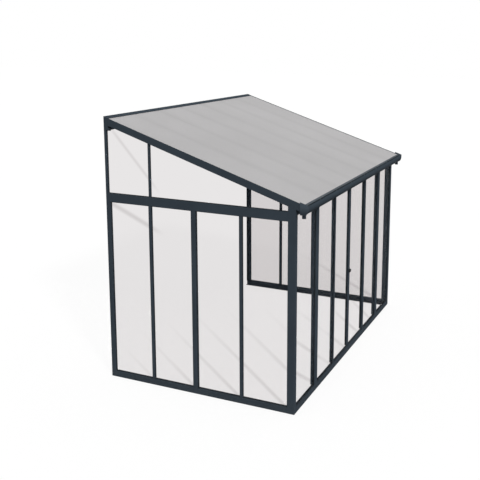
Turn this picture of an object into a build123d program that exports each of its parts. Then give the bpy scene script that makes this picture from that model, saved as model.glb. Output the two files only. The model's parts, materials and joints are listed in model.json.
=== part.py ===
from build123d import *
import math
import os

# Lean-to patio enclosure: a glazed aluminium frame that stands on the floor against a house wall.
# X runs along the house wall, +Y points at the house and +Z is up. The origin lies on the floor,
# at the middle of the footprint. Sizes are millimetres and degrees.

# Overall sizes
width = 3418.0  # over the outer faces of the side walls
depth = 2168.0  # from the house wall to the outer face of the front wall
eave_z = 2082.0  # underside of the rafters at the outer face of the front wall
roof_pitch = 18.0

# Extrusions and glazing
wall = 2.5  # metal thickness of the extrusions
edge_r = 1.5  # rounding along the edges of the bars
least_chamber = 3.0  # a narrower hollow is left solid
pane_t = 4.0
pane_clear = 0.3  # between the face of a pane and its slot
pane_grip = 8.0  # how far the edge of a pane reaches into a slot
slot_d = 11.0  # depth of a glazing slot
fit_gap = 0.3  # between pieces that are pushed together

# Side walls
side_d = 46.0  # depth of the bars, across the wall
side_pane_at = 20.0  # middle of the pane, behind the outer face
sill_h = 62.0
toe_w = 30.0  # fixing flange on the inside of the sills and wall posts
toe_t = 4.0
corner_x = 50.0
corner_y = 80.0
wall_post_w = 24.0
slim_d = 28.0  # depth of the wall posts, stiles and mullions
mullion_w = 27.0
mullion_set = 6.0  # the mullions stand this far behind the outer face
mid_post_w = 50.0
mid_post_at = 1119.0  # its middle, behind the front face
transom_h = 90.0
transom_drop = 31.0  # top of the transom, below the eave
gable_w = 18.0
gable_d = 14.0
gable_slot = 7.0

# Front wall
front_d = 50.0
front_pane_at = 12.0
first_bay = 512.0  # clear width between the corner post and the door post
door_post_w = 76.0
header_h = 60.0  # front height of the header, below the rafters
header_slot = 24.0  # deep, so that a pane is lifted in and dropped into the sill
lane_at = 19.5  # front edge of the doors' lane in the sill and the header
lane_w = 19.0
lane_floor = 8.0
lane_rise = 48.0  # height of the lane inside the header
sill_lip = 30.0  # height of the sill behind the lane
track_w = 4.0
track_h = 12.0
interlock_d = 14.0

# Doors
door_w = 561.5
door_t = 16.0
door_wall = 2.0
door_slot = 10.0
stile_w = 30.0
bottom_rail_h = 34.0
top_rail_h = 44.0
roller_room = 20.0  # height of the channel under the bottom rail
door_lift = 4.0  # bottom rail above the track
rail_show = 6.0  # part of the top rail that shows below the header
meeting_gap = 3.0
stop_l = 20.0  # rubber buffer between an open door and the door post
stop_h = 30.0

# Door rollers
roller_root_r = 9.5
roller_flange_r = 12.0
roller_w = 8.0
roller_groove = 5.0
roller_in = 60.0  # from the stile to the axle
axle_r = 3.0
run_clear = 0.05  # radial clearance of the running fits
roll_gap = 0.3  # between a roller and the track

# Lock and door pulls
lock_z = 985.0
spindle_r = 4.0
spindle_in = 10.0  # from the meeting edge to the spindle
pull_in = 15.0
rose_r = 9.0
rose_t = 4.0
wing_h = 34.0
wing_w = 9.0
wing_l = 18.0
hook_t = 4.0
hook_w = 6.0
hook_reach = 21.0
barb_out = 4.0
barb_l = 5.0
hub_r = 6.5
hook_clear = 0.5

# Roof
rafter_n = 58.0  # depth of a rafter, square to the roof
rafter_w = 44.0
rafter_overhang = 46.0
fin_t = 4.0  # upstand along the outer edge of an end rafter
fin_h = 15.0
panel_count = 7
panel_t = 10.0
panel_clear = 1.0
panel_overhang = 92.0
panel_skin = 1.0
cell_pitch = 21.0
joint_rib_t = 4.0
joint_rib_h = 9.0

# Wall plate
plate_d = 50.0
plate_t = 4.0
plate_drop = 47.0  # underside of the plate, below the rafters at its front
plate_head = 8.0  # top of the plate, above the panels at the wall
cover_t = 3.0
cover_gap = 3.0
nose_out = 12.0
nose_h = 20.0
cap_t = 3.0
panel_back = 4.0  # between the panels and the back of the plate

# Gutter
gutter_w = 81.0
gutter_h = 88.0
gutter_t = 2.5
gutter_clear = 3.0  # between the back of the gutter and the panels
gutter_belly = 40.0  # from the front of the gutter to its flat bottom
gutter_round = 64.0  # height of the rounded part of its front
bead_r = 5.0
gutter_cap_t = 4.0
gutter_rim = 4.0  # the caps stand proud of the gutter by this much
gutter_cap_rise = 14.0  # top of the caps, above the edge of the roof
spigot_gap = 1.0  # between the caps' spigots and the outlet holes
outlet_r = 20.0
outlet_t = 2.5
outlet_l = 40.0
outlet_flange = 3.0
outlet_flange_t = 3.0
outlet_in = 30.0  # from the end of the gutter
outlet_at = 27.0  # from the back of the gutter

# Fixing holes
wall_hole_r = 4.5
plate_hole_outer = 975.0  # from the middle of the plate
plate_hole_inner = 488.0
post_hole_low = 500.0
post_hole_high = 1700.0
floor_hole_r = 5.5
side_hole_in = 300.0  # from the house wall and from the corner post
front_hole_in = 400.0  # from the middle of each corner post
hole_edge = 14.0  # from the edge of the fixing flange

# Values worked out from those
half_w = width / 2
reach = rafter_overhang + gutter_w + gutter_rim
house_y = (depth + reach) / 2
front_y = house_y - depth
tan_p = math.tan(math.radians(roof_pitch))
cos_p = math.cos(math.radians(roof_pitch))
sin_p = math.sin(math.radians(roof_pitch))
down_slope = (0, -cos_p, -sin_p)
slot_w = pane_t + 2 * pane_clear
transom_top = eave_z - transom_drop
transom_z = transom_top - transom_h
header_z = eave_z - header_h
stile_y = house_y - wall_post_w - mullion_w  # front face of the stile beside the wall post
mid_y = front_y + mid_post_at
front_mullion_y = (front_y + corner_y + mid_y - mid_post_w / 2) / 2
rear_mullion_y = (mid_y + mid_post_w / 2 + stile_y) / 2
post_left = -half_w + corner_x + first_bay
post_right = post_left + door_post_w
door_right = -meeting_gap / 2
door_left = door_right - door_w
door_y = front_y + lane_at + (lane_w - door_t) / 2
lane_y = front_y + lane_at + lane_w / 2
track_z = lane_floor + track_h
rail_z = track_z + door_lift
bottom_rail_top = rail_z + bottom_rail_h
top_rail_z = header_z - rail_show
top_rail_top = top_rail_z + top_rail_h
roller_z = track_z + roll_gap + roller_root_r
spindle_x = door_right - spindle_in
seat_y = front_y - rafter_overhang
plate_front = house_y - plate_d


def rafter_z(y, n=0.0):
    """Height at y of the plane that lies n above the underside of the rafters."""
    return eave_z + (y - front_y) * tan_p + n / cos_p


def block(x, y, z):
    """A box from the low to the high value on each axis."""
    spans = (x, y, z)
    centre = [(span[0] + span[1]) / 2 for span in spans]
    size = [span[1] - span[0] for span in spans]
    return Pos(*centre) * Box(*size)


def rect(u, v):
    """A rectangle from the low to the high value on each axis of a sketch."""
    return Pos((u[0] + u[1]) / 2, (v[0] + v[1]) / 2) * Rectangle(u[1] - u[0], v[1] - v[0])


def about(middle, size):
    """The low and high value of a span about its middle."""
    return (middle - size / 2, middle + size / 2)


def outline(*points):
    """A face with straight edges."""
    return make_face(Polyline(*points, close=True))


def bar_face(w, d, pane_at, sides, depth_of_slot=slot_d, metal=wall):
    """Hollow bar, w along the wall and d across it, with a pane slot in each of its named sides."""
    face = Pos(0, d / 2) * RectangleRounded(w, d, edge_r)
    for side in sides:
        mouth = side * (w / 2 + edge_r)
        floor = side * (w / 2 - depth_of_slot)
        face -= rect((min(mouth, floor), max(mouth, floor)), about(pane_at, slot_w))
    chamber = w / 2 - metal
    front = (metal, pane_at - slot_w / 2 - metal)
    back = (pane_at + slot_w / 2 + metal, d - metal)
    for across in (front, back):
        if across[1] - across[0] > least_chamber:
            face -= rect((-chamber, chamber), across)
    return face


def run(face, origin, u, along, length):
    """A bar of the given section: u is the direction of its width, along that of its length."""
    plane = Plane(origin=origin, x_dir=u, z_dir=along)
    return extrude(plane * face, amount=length, dir=along)


def side_upright(face, y, z, top, set_back=0.0):
    """An upright of the left wall, with its outdoor face towards -X."""
    return run(face, (-half_w + set_back, y, z), (0, -1, 0), (0, 0, 1), top - z)


def side_rail(face, y, z, length):
    """A level bar of the left wall that runs towards the house from y."""
    return run(face, (-half_w, y, z), (0, 0, 1), (0, 1, 0), length)


def front_upright(face, x, z, top, set_back=0.0):
    """An upright of the front wall, with its outdoor face towards -Y."""
    return run(face, (x, front_y + set_back, z), (1, 0, 0), (0, 0, 1), top - z)


def along_x(face, low, high):
    """A section drawn in Y and Z, run along X."""
    return extrude(Plane.YZ.offset(low) * face, amount=high - low, dir=(1, 0, 0))


def under_roof(piece):
    """The piece cut off along the underside of the rafters."""
    low = front_y - reach
    high = house_y + reach
    face = outline((low, 0), (high, 0), (high, rafter_z(high)), (low, rafter_z(low)))
    return piece & along_x(face, -width, width)


def slope_plane(x, y, n=0.0):
    """A plane square to the slope, at height n above the underside of the rafters."""
    return Plane(origin=(x, y, rafter_z(y, n)), x_dir=(1, 0, 0), z_dir=down_slope)


def rafter_run(face, x, low, high):
    """A sloping bar, cut plumb at both ends."""
    spare = rafter_n + fin_h
    start = high + spare
    length = (start - low + spare) / cos_p
    bar = extrude(slope_plane(x, start) * face, amount=length, dir=down_slope)
    return bar & block((-width, width), (low, high), (0, 2 * rafter_z(start)))


def pin(x, y, z, r, length, axis):
    """A round pin or hole with its middle at a point, along one axis."""
    turn = {"X": Rot(0, 90, 0), "Y": Rot(90, 0, 0), "Z": Rot(0, 0, 0)}[axis]
    return Pos(x, y, z) * turn * Cylinder(r, length)


def side_pane(points):
    """A pane of the left wall, from its corners in Y and Z."""
    middle = -half_w + side_pane_at
    return along_x(outline(*points), middle - pane_t / 2, middle + pane_t / 2)


def mirrored(piece):
    """The same piece on the other side."""
    return mirror(piece, about=Plane.YZ)


def left_sill():
    """Ground bar of the side wall, with a slot for the panes and a drilled fixing flange."""
    start = front_y + corner_y
    face = bar_face(sill_h, side_d, side_pane_at, (1,))
    bar = side_rail(face, start, sill_h / 2, house_y - start)
    inner = -half_w + side_d
    bar += block((inner - edge_r, inner + toe_w), (start, house_y), (0, toe_t))
    for y in (start + side_hole_in, house_y - side_hole_in):
        bar -= pin(inner + toe_w - hole_edge, y, toe_t / 2, floor_hole_r, 2 * toe_t, "Z")
    return bar


def wall_post():
    """Upright on the house wall, with a drilled fixing flange."""
    top = rafter_z(plate_front) - plate_drop
    face = bar_face(wall_post_w, slim_d, side_pane_at, (1,))
    post = side_upright(face, house_y - wall_post_w / 2, sill_h, top)
    inner = -half_w + slim_d
    post += block((inner - edge_r, inner + toe_w), (house_y - toe_t, house_y), (sill_h, top))
    for z in (post_hole_low, post_hole_high):
        post -= pin(inner + toe_w - hole_edge, house_y - toe_t / 2, z, wall_hole_r, 2 * toe_t, "Y")
    return post


def wall_stile():
    """Upright beside the wall post, under the transom."""
    face = bar_face(mullion_w, slim_d, side_pane_at, (1,))
    return side_upright(face, stile_y + mullion_w / 2, sill_h, transom_z)


def corner_post():
    """Post at the front corner, with a slot for each wall and its top cut to the roof."""
    face = Pos(corner_x / 2, corner_y / 2) * RectangleRounded(corner_x, corner_y, edge_r)
    side_slot = about(side_pane_at, slot_w)
    front_slot = about(front_pane_at, slot_w)
    slot_x = corner_x - slot_d
    slot_y = corner_y - slot_d
    face -= rect(side_slot, (slot_y, corner_y + edge_r))
    face -= rect((slot_x, corner_x + edge_r), front_slot)
    face -= rect((wall, slot_x - wall), (wall, slot_y - wall))
    face -= rect((slot_x, corner_x - wall), (front_slot[1] + wall, corner_y - wall))
    face -= rect((wall, side_slot[0] - wall), (slot_y, corner_y - wall))
    face -= rect((side_slot[1] + wall, slot_x - wall), (slot_y, corner_y - wall))
    top = rafter_z(front_y + corner_y)
    return under_roof(extrude(Pos(-half_w, front_y, 0) * face, amount=top))


def transom():
    """Level bar at eave height, slotted below for the wall panes and above for the gable panes."""
    face = bar_face(transom_h, side_d, side_pane_at, (-1, 1))
    start = front_y + corner_y
    length = house_y - wall_post_w - start
    return side_rail(face, start, transom_z + transom_h / 2, length)


def mid_post():
    """Wide upright between the two pairs of bays."""
    return side_upright(bar_face(mid_post_w, side_d, side_pane_at, (-1, 1)), mid_y, sill_h, transom_z)


def side_mullions():
    """The slim uprights that part each pair of bays."""
    face = bar_face(mullion_w, slim_d, side_pane_at - mullion_set, (-1, 1))
    places = (front_mullion_y, rear_mullion_y)
    return Compound([side_upright(face, y, sill_h, transom_z, mullion_set).solid() for y in places])


def gable_mullion():
    """Joint bar of the two gable panes, cut to the roof at its top."""
    face = bar_face(gable_w, gable_d, gable_d / 2, (-1, 1), gable_slot)
    top = rafter_z(rear_mullion_y + gable_w)
    set_back = side_pane_at - gable_d / 2
    return under_roof(side_upright(face, rear_mullion_y, transom_top, top, set_back))


def side_panes():
    """The four panes under the transom, standing on the floor of the sill's slot."""
    edges = [
        (front_y + corner_y, front_mullion_y - mullion_w / 2),
        (front_mullion_y + mullion_w / 2, mid_y - mid_post_w / 2),
        (mid_y + mid_post_w / 2, rear_mullion_y - mullion_w / 2),
        (rear_mullion_y + mullion_w / 2, stile_y),
    ]
    low = sill_h - slot_d
    high = transom_z + pane_grip
    panes = []
    for front, back in edges:
        y0 = front - pane_grip
        y1 = back + pane_grip
        panes.append(side_pane([(y0, low), (y1, low), (y1, high), (y0, high)]).solid())
    return Compound(panes)


def gable_panes():
    """The long tapering pane and the rear pane, which is notched under the wall plate."""
    low = transom_top - slot_d
    grip = gable_slot - (slot_d - pane_grip)
    first = front_y + corner_y - pane_grip
    joint_front = rear_mullion_y - gable_w / 2 + grip
    joint_back = rear_mullion_y + gable_w / 2 - grip
    last = house_y - wall_post_w + pane_grip
    notch_y = plate_front - nose_out - panel_clear
    notch_z = rafter_z(plate_front) - plate_drop - panel_clear
    tapering = [
        (first, low),
        (joint_front, low),
        (joint_front, rafter_z(joint_front, pane_grip)),
        (first, rafter_z(first, pane_grip)),
    ]
    rear = [
        (joint_back, low),
        (last, low),
        (last, notch_z),
        (notch_y, notch_z),
        (notch_y, rafter_z(notch_y, pane_grip)),
        (joint_back, rafter_z(joint_back, pane_grip)),
    ]
    return [side_pane(tapering).solid(), side_pane(rear).solid()]


def front_sill():
    """Threshold with a pane slot in front, and behind it the lane and track of the doors."""
    end = half_w - corner_x
    lane = (lane_at, lane_at + lane_w)
    face = Pos(front_d / 2, sill_h / 2) * RectangleRounded(front_d, sill_h, edge_r)
    face -= rect(lane, (lane_floor, sill_h + edge_r))
    face -= rect((lane[1], front_d + edge_r), (sill_lip, sill_h + edge_r))
    face += rect(about(lane_at + lane_w / 2, track_w), (lane_floor, track_z))
    face -= rect(about(front_pane_at, slot_w), (sill_h - slot_d, sill_h + edge_r))
    face -= rect((wall, lane_at - wall), (wall, sill_h - slot_d - wall))
    face -= rect((lane[1] + wall, front_d - wall), (wall, sill_lip - wall))
    bar = along_x(Pos(front_y, 0) * face, -end, end)
    toe_end = half_w - side_d - toe_w - fit_gap
    toe_y = front_y + front_d
    bar += block((-toe_end, toe_end), (toe_y - edge_r, toe_y + toe_w), (0, toe_t))
    for x in (front_hole_in - half_w, half_w - front_hole_in):
        bar -= pin(x, toe_y + toe_w - hole_edge, toe_t / 2, floor_hole_r, 2 * toe_t, "Z")
    return bar


def header():
    """Eave beam, with its top on the slope of the roof and a lane for the tops of the doors."""
    end = half_w - corner_x
    lane_top = header_z + lane_rise
    back = front_y + front_d
    face = outline((front_y, header_z), (back, header_z), (back, rafter_z(back)), (front_y, eave_z))
    face -= rect(about(lane_y, lane_w), (header_z - edge_r, lane_top))
    slot_y = front_y + front_pane_at
    face -= rect(about(slot_y, slot_w), (header_z - edge_r, header_z + header_slot))
    inner = (front_y + wall, back - wall)
    floor = lane_top + wall
    face -= outline(
        (inner[0], floor),
        (inner[1], floor),
        (inner[1], rafter_z(inner[1]) - wall),
        (inner[0], rafter_z(inner[0]) - wall),
    )
    return along_x(face, -end, end)


def door_post():
    """Wide post between the first bay and the fixed panel beside the doors."""
    face = bar_face(door_post_w, front_d, front_pane_at, (-1, 1))
    return front_upright(face, (post_left + post_right) / 2, sill_h, header_z)


def interlock_stile():
    """Free edge of the fixed panel, which the closed door laps behind."""
    set_back = lane_at - interlock_d - fit_gap
    face = bar_face(stile_w, interlock_d, front_pane_at - set_back, (-1,))
    return front_upright(face, door_left + stile_w / 2, sill_h, header_z, set_back)


def front_panes():
    """The panes of the first bay and of the fixed panel."""
    middle = front_y + front_pane_at
    z = (sill_h - slot_d, header_z + pane_grip)
    bays = ((-half_w + corner_x, post_left), (post_right, door_left))
    panes = []
    for left, right in bays:
        panes.append(block((left - pane_grip, right + pane_grip), about(middle, pane_t), z).solid())
    return panes


def door_stop():
    """Rubber buffer in the lane of the sill, against the door post."""
    x = (post_right, post_right + stop_l)
    foot = block(x, about(lane_y, lane_w - 2 * fit_gap), (lane_floor, lane_floor + stop_h))
    return foot - block(x, about(lane_y, track_w + 2 * fit_gap), (0, track_z + fit_gap))


def door_stile(x, side):
    """Upright of a door at x, with its pane slot towards the given side."""
    face = bar_face(stile_w, door_t, door_t / 2, (side,), door_slot, door_wall)
    hollow = stile_w - door_slot - 2 * door_wall
    middle = -side * (stile_w / 2 - door_wall - hollow / 2)
    face -= rect(about(middle, hollow), (door_wall, door_t - door_wall))
    return front_upright(face, x, rail_z, top_rail_top, door_y - front_y)


def door_rails():
    """Bottom rail with a channel for the rollers, and top rail."""
    x = (door_left + stile_w, door_right - stile_w)
    middle = door_y + door_t / 2
    inside = about(middle, door_t - 2 * door_wall)
    low = rect((door_y, door_y + door_t), (rail_z, bottom_rail_top))
    low -= rect(inside, (rail_z - edge_r, rail_z + roller_room))
    low -= rect(about(middle, slot_w), (bottom_rail_top - door_slot, bottom_rail_top + edge_r))
    high = rect((door_y, door_y + door_t), (top_rail_z, top_rail_top))
    high -= rect(about(middle, slot_w), (top_rail_z - edge_r, top_rail_z + door_slot))
    high -= rect(inside, (top_rail_z + door_slot + door_wall, top_rail_top - door_wall))
    bottom = along_x(low, *x)
    for place in roller_places():
        bottom -= pin(place, middle, roller_z, axle_r + run_clear, 2 * door_t, "Y")
    return [bottom.solid(), along_x(high, *x).solid()]


def roller_places():
    """The X of the two axles of the left door."""
    return (door_left + stile_w + roller_in, door_right - stile_w - roller_in)


def door_pane():
    """Pane of a door, standing on the floor of the bottom rail's slot."""
    x = (door_left + stile_w - pane_grip, door_right - stile_w + pane_grip)
    z = (bottom_rail_top - door_slot, top_rail_z + pane_grip)
    return block(x, about(door_y + door_t / 2, pane_t), z)


def roller(x):
    """Grooved roller that straddles the track."""
    half = roller_w / 2
    groove = roller_groove / 2
    bore = axle_r + run_clear
    lip = (half + groove) / 2
    face = outline(
        (bore, -half),
        (roller_flange_r, -half),
        (roller_flange_r, -lip),
        (roller_root_r, -groove),
        (roller_root_r, groove),
        (roller_flange_r, lip),
        (roller_flange_r, half),
        (bore, half),
    )
    return Pos(x, door_y + door_t / 2, roller_z) * revolve(face, axis=Axis.Y)


def axles():
    """Axle pins of the left door, flush inside the faces of its bottom rail."""
    length = door_t - 2 * fit_gap
    return [pin(x, door_y + door_t / 2, roller_z, axle_r, length, "Y").solid() for x in roller_places()]


def pull(x, gap):
    """Round rose and upright wing in front of a door; gap is the room behind the rose."""
    back = door_y - gap
    rose = pin(x, back - rose_t / 2, lock_z, rose_r, rose_t, "Y")
    face = RectangleRounded(wing_w, wing_h, wing_w / 2 - hook_clear)
    front = back - rose_t
    wing = run(Pos(0, 0) * face, (x, front, lock_z), (1, 0, 0), (0, -1, 0), wing_l)
    rim = wing.faces().sort_by(Axis.Y)[0].edges()
    return rose + fillet(rim, wing_w / 4)


def lock_knob():
    """Turning pull with its spindle, which ends behind the hook."""
    end = door_y + door_t / 2 + hook_t / 2
    start = door_y - fit_gap - rose_t / 2
    return pull(spindle_x, fit_gap) + pin(
        spindle_x, (start + end) / 2, lock_z, spindle_r, end - start, "Y"
    )


def lock_hook():
    """Hook on the spindle, upright when unlocked; its barb drops behind the keeper when turned down."""
    middle = door_y + door_t / 2
    arm = rect(about(0, hook_w), (0, hook_reach))
    arm += rect((0, hook_w / 2 + barb_out), (hook_reach - barb_l, hook_reach))
    face = arm + Circle(hub_r) - Circle(spindle_r + run_clear)
    origin = (spindle_x, middle + hook_t / 2, lock_z)
    return run(face, origin, (1, 0, 0), (0, -1, 0), hook_t)


def hook_slot(x):
    """Cut for the swing of the hook through the meeting edge of a stile at x."""
    tip = math.hypot(hook_reach, hook_w / 2 + barb_out)
    z = (lock_z - hook_w / 2 - hook_clear, lock_z + tip - hook_clear)
    return block(x, about(door_y + door_t / 2, hook_t + 2 * hook_clear), z)


def left_door_stiles():
    """Outer stile, and the meeting stile with its spindle hole and the slot of the hook."""
    outer = door_stile(door_left + stile_w / 2, 1)
    meeting = door_stile(door_right - stile_w / 2, -1)
    meeting -= pin(spindle_x, door_y, lock_z, spindle_r + fit_gap, 2 * door_wall + edge_r, "Y")
    meeting -= hook_slot((door_right - door_wall - edge_r, door_right + edge_r))
    return Compound([outer.solid(), meeting.solid()])


def right_door_stiles():
    """Outer stile, and the meeting stile whose slot keeps the hook."""
    outer = mirrored(door_stile(door_left + stile_w / 2, 1))
    meeting = mirrored(door_stile(door_right - stile_w / 2, -1))
    meeting -= hook_slot((-door_right - edge_r, -door_right + door_wall + edge_r))
    return Compound([outer.solid(), meeting.solid()])


def end_rafter():
    """Side edge of the roof, with an upstand outside the panels and a tongue into the wall plate."""
    pane_slot = about(side_pane_at, slot_w)
    web = rafter_n / 2
    hollows = [
        ((wall, pane_slot[0] - wall), (wall, web - wall)),
        ((pane_slot[1] + wall, side_d - wall), (wall, web - wall)),
        ((wall + cap_t, side_d - wall), (web, rafter_n - wall)),
    ]
    bar = rect((0, side_d), (0, rafter_n)) + rect((0, fin_t), (0, rafter_n + fin_h))
    tongue = rect((cap_t + fit_gap, side_d), (0, rafter_n))
    slot = rect(pane_slot, (-edge_r, slot_d))
    for u, v in hollows:
        bar -= rect(u, v)
        tongue -= rect(u, v)
    main = rafter_run(bar - slot, -half_w, seat_y, plate_front - fit_gap)
    inside = rafter_run(tongue - slot, -half_w, plate_front - fit_gap, house_y - plate_t - fit_gap)
    return main + inside


def inner_rafter(x):
    """Rafter under the joint of two panels, with a rib that stands between them."""
    web = rafter_n / 2
    face = rect(about(0, rafter_w), (0, rafter_n))
    for v in ((wall, web - wall / 2), (web + wall / 2, rafter_n - wall)):
        face -= rect(about(0, rafter_w - 2 * wall), v)
    face += rect(about(0, joint_rib_t), (rafter_n, rafter_n + joint_rib_h))
    return rafter_run(face, x, seat_y, house_y - plate_t - fit_gap)


def roof_panel(left, panel_w):
    """Twin-wall sheet: two skins joined by ribs that run down the slope."""
    cells = int(panel_w // cell_pitch)
    pitch = (panel_w - panel_skin) / cells
    face = rect((0, panel_w), (0, panel_t))
    face -= [
        rect((panel_skin + i * pitch, (i + 1) * pitch), (panel_skin, panel_t - panel_skin))
        for i in range(cells)
    ]
    high = house_y - plate_t - panel_back
    length = (high - front_y + panel_overhang) / cos_p
    return extrude(slope_plane(left, high, rafter_n) * face, amount=length, dir=down_slope)


def plate_outline():
    """Corners of the wall plate that its section and its end caps share."""
    low = rafter_z(plate_front) - plate_drop
    cover = rafter_z(plate_front, rafter_n + panel_t) + cover_gap
    top = rafter_z(house_y, rafter_n + panel_t) + plate_head
    return low, cover, top


def wall_plate():
    """Channel on the house wall: a shelf carries the rafters and a sloping cover laps the panels."""
    low, cover, top = plate_outline()
    nose = plate_front - nose_out
    back = house_y - plate_t
    face = outline(
        (house_y, low),
        (nose, low),
        (nose, low + nose_h),
        (nose + cover_t, low + nose_h),
        (nose + cover_t, low + cover_t),
        (plate_front, low + cover_t),
        (plate_front, rafter_z(plate_front)),
        (back, rafter_z(back)),
        (back, top - cover_t - plate_t * tan_p),
        (plate_front, cover),
        (plate_front, cover + cover_t),
        (house_y, top),
    )
    inner = plate_front + cover_t
    face -= outline(
        (back, low + cover_t),
        (inner, low + cover_t),
        (inner, rafter_z(inner) - plate_t),
        (back, rafter_z(back) - plate_t),
    )
    end = half_w - cap_t
    plate = along_x(face, -end, end)
    hole_z = rafter_z(back, rafter_n / 2)
    for x in (-plate_hole_outer, -plate_hole_inner, plate_hole_inner, plate_hole_outer):
        plate -= pin(x, house_y - plate_t / 2, hole_z, wall_hole_r, 2 * plate_t, "Y")
    return plate


def plate_cap():
    """Flat cap on the left end of the wall plate."""
    low, cover, top = plate_outline()
    nose = plate_front - nose_out
    face = outline(
        (house_y, low),
        (nose, low),
        (nose, low + nose_h),
        (plate_front, low + nose_h),
        (plate_front, cover + cover_t),
        (house_y, top),
    )
    return along_x(face, -half_w, -half_w + cap_t)


def gutter_face(inset, top):
    """Section of the gutter, drawn inside its outer skin by the inset and closed at the top."""
    back = seat_y - inset
    front = seat_y - gutter_w + inset
    low = gutter_bottom() + inset
    belly = seat_y - gutter_w + gutter_belly
    shoulder = low + gutter_round
    line = Polyline((front, shoulder), (front, top), (back, top), (back, low), (belly, low))
    curve = EllipticalCenterArc((belly, shoulder), belly - front, shoulder - low, 180, arc_size=90)
    return make_face([line, curve])


def gutter_bottom():
    """Height of the underside of the gutter, from its clearance under the panels."""
    return rafter_z(seat_y, rafter_n) - gutter_clear - gutter_h


def gutter():
    """Rain gutter on the ends of the rafters, with a rolled bead along its front edge."""
    top = gutter_bottom() + gutter_h
    face = gutter_face(0, top) - gutter_face(gutter_t, top + gutter_rim)
    face += Pos(seat_y - gutter_w + bead_r, top - bead_r) * Circle(bead_r)
    bar = along_x(face, -half_w, half_w)
    for side in (-1, 1):
        x = side * (half_w - outlet_in)
        bar -= pin(x, seat_y - outlet_at, gutter_bottom(), outlet_r - outlet_t, 4 * gutter_t, "Z")
    return bar


def gutter_cap():
    """Cap on the left end of the gutter; its top stands above the edge of the roof."""
    low = gutter_bottom()
    lip = low + gutter_h
    back = seat_y + gutter_rim
    front = seat_y - gutter_w - gutter_rim
    top = rafter_n + fin_h + gutter_cap_rise
    drip = front_y - panel_overhang
    shoulder = low + gutter_round
    belly = seat_y - gutter_w + gutter_belly
    base = low - gutter_rim
    line = Polyline(
        (front, shoulder),
        (front, lip + gutter_rim),
        (drip, max(rafter_z(drip, top), lip + gutter_rim)),
        (back, rafter_z(back, top)),
        (back, base),
        (belly, base),
    )
    curve = EllipticalCenterArc((belly, shoulder), belly - front, shoulder - base, 180, arc_size=90)
    plate = along_x(make_face([line, curve]), -half_w - gutter_cap_t, -half_w)
    hold = gutter_t + fit_gap
    rim_top = lip - 2 * bead_r - hold
    ring = gutter_face(hold, rim_top) - gutter_face(hold + gutter_t, rim_top - gutter_t)
    return plate + along_x(ring, -half_w, -half_w + outlet_in - outlet_r - spigot_gap)


def gutter_outlet():
    """Spout under the left end of the gutter, which a downpipe slips over."""
    x = -half_w + outlet_in
    y = seat_y - outlet_at
    top = gutter_bottom()
    flange = pin(x, y, top - outlet_flange_t / 2, outlet_r + outlet_flange, outlet_flange_t, "Z")
    pipe = pin(x, y, top - outlet_l / 2, outlet_r, outlet_l, "Z")
    return flange + pipe - pin(x, y, top - outlet_l / 2, outlet_r - outlet_t, 2 * outlet_l, "Z")


def pair(piece):
    """A piece and its mirror image as one group."""
    return Compound([piece.solid(), mirrored(piece).solid()])


def build():
    """Every node by name."""
    nodes = {"front_sill": front_sill(), "front_header": header(), "wall_plate": wall_plate()}
    handed = {
        "sill": left_sill(),
        "wall_post": wall_post(),
        "corner_post": corner_post(),
        "mid_post": mid_post(),
        "side_mullions": side_mullions(),
        "transom": transom(),
        "side_panes": side_panes(),
        "door_post": door_post(),
        "end_rafter": end_rafter(),
        "door_rails": Compound(door_rails()),
        "door_pane": door_pane(),
        "door_axles": Compound(axles()),
    }
    for name, piece in handed.items():
        nodes["left_" + name] = piece
        nodes["right_" + name] = mirrored(piece)
    for number, x in enumerate(roller_places(), 1):
        nodes[f"left_door_roller_{number}"] = roller(x)
        nodes[f"right_door_roller_{number}"] = mirrored(roller(x))
    nodes["left_door_stiles"] = left_door_stiles()
    nodes["right_door_stiles"] = right_door_stiles()
    nodes["lock_knob"] = lock_knob()
    nodes["lock_hook"] = lock_hook()
    nodes["right_door_pull"] = mirrored(pull(door_right - pull_in, 0))
    nodes["wall_stiles"] = pair(wall_stile())
    nodes["gable_mullions"] = pair(gable_mullion())
    nodes["interlock_stiles"] = pair(interlock_stile())
    nodes["door_stops"] = pair(door_stop())
    nodes["plate_caps"] = pair(plate_cap())
    nodes["gutter"] = gutter()
    nodes["gutter_caps"] = pair(gutter_cap())
    nodes["gutter_outlets"] = pair(gutter_outlet())
    for name, panes in (("gable_panes", gable_panes()), ("front_panes", front_panes())):
        nodes[name] = Compound(panes + [mirrored(pane).solid() for pane in panes])
    between = joint_rib_t + 2 * panel_clear
    roof_w = width - 2 * fin_t - 2 * panel_clear
    panel_w = (roof_w - (panel_count - 1) * between) / panel_count
    for number in range(panel_count):
        left = -roof_w / 2 + number * (panel_w + between)
        nodes[f"roof_panel_{number + 1}"] = roof_panel(left, panel_w)
        if number:
            nodes[f"rafter_{number}"] = inner_rafter(left - between / 2)
    return nodes


os.makedirs("parts", exist_ok=True)
for node_name, shape in build().items():
    export_step(shape, f"parts/{node_name}.step")
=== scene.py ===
"""Looks of a lean-to patio enclosure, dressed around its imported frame."""

import json
import logging
import math
from dataclasses import dataclass, field
from enum import Enum
from typing import ClassVar, Iterable, Sequence

import bmesh
import bpy
from bmesh.types import BMEdge, BMesh, BMFace, BMVert
from bpy.types import Material, Node, NodeOutputs, NodeSocket, NodeTree, Object
from mathutils import Matrix, Vector


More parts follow.
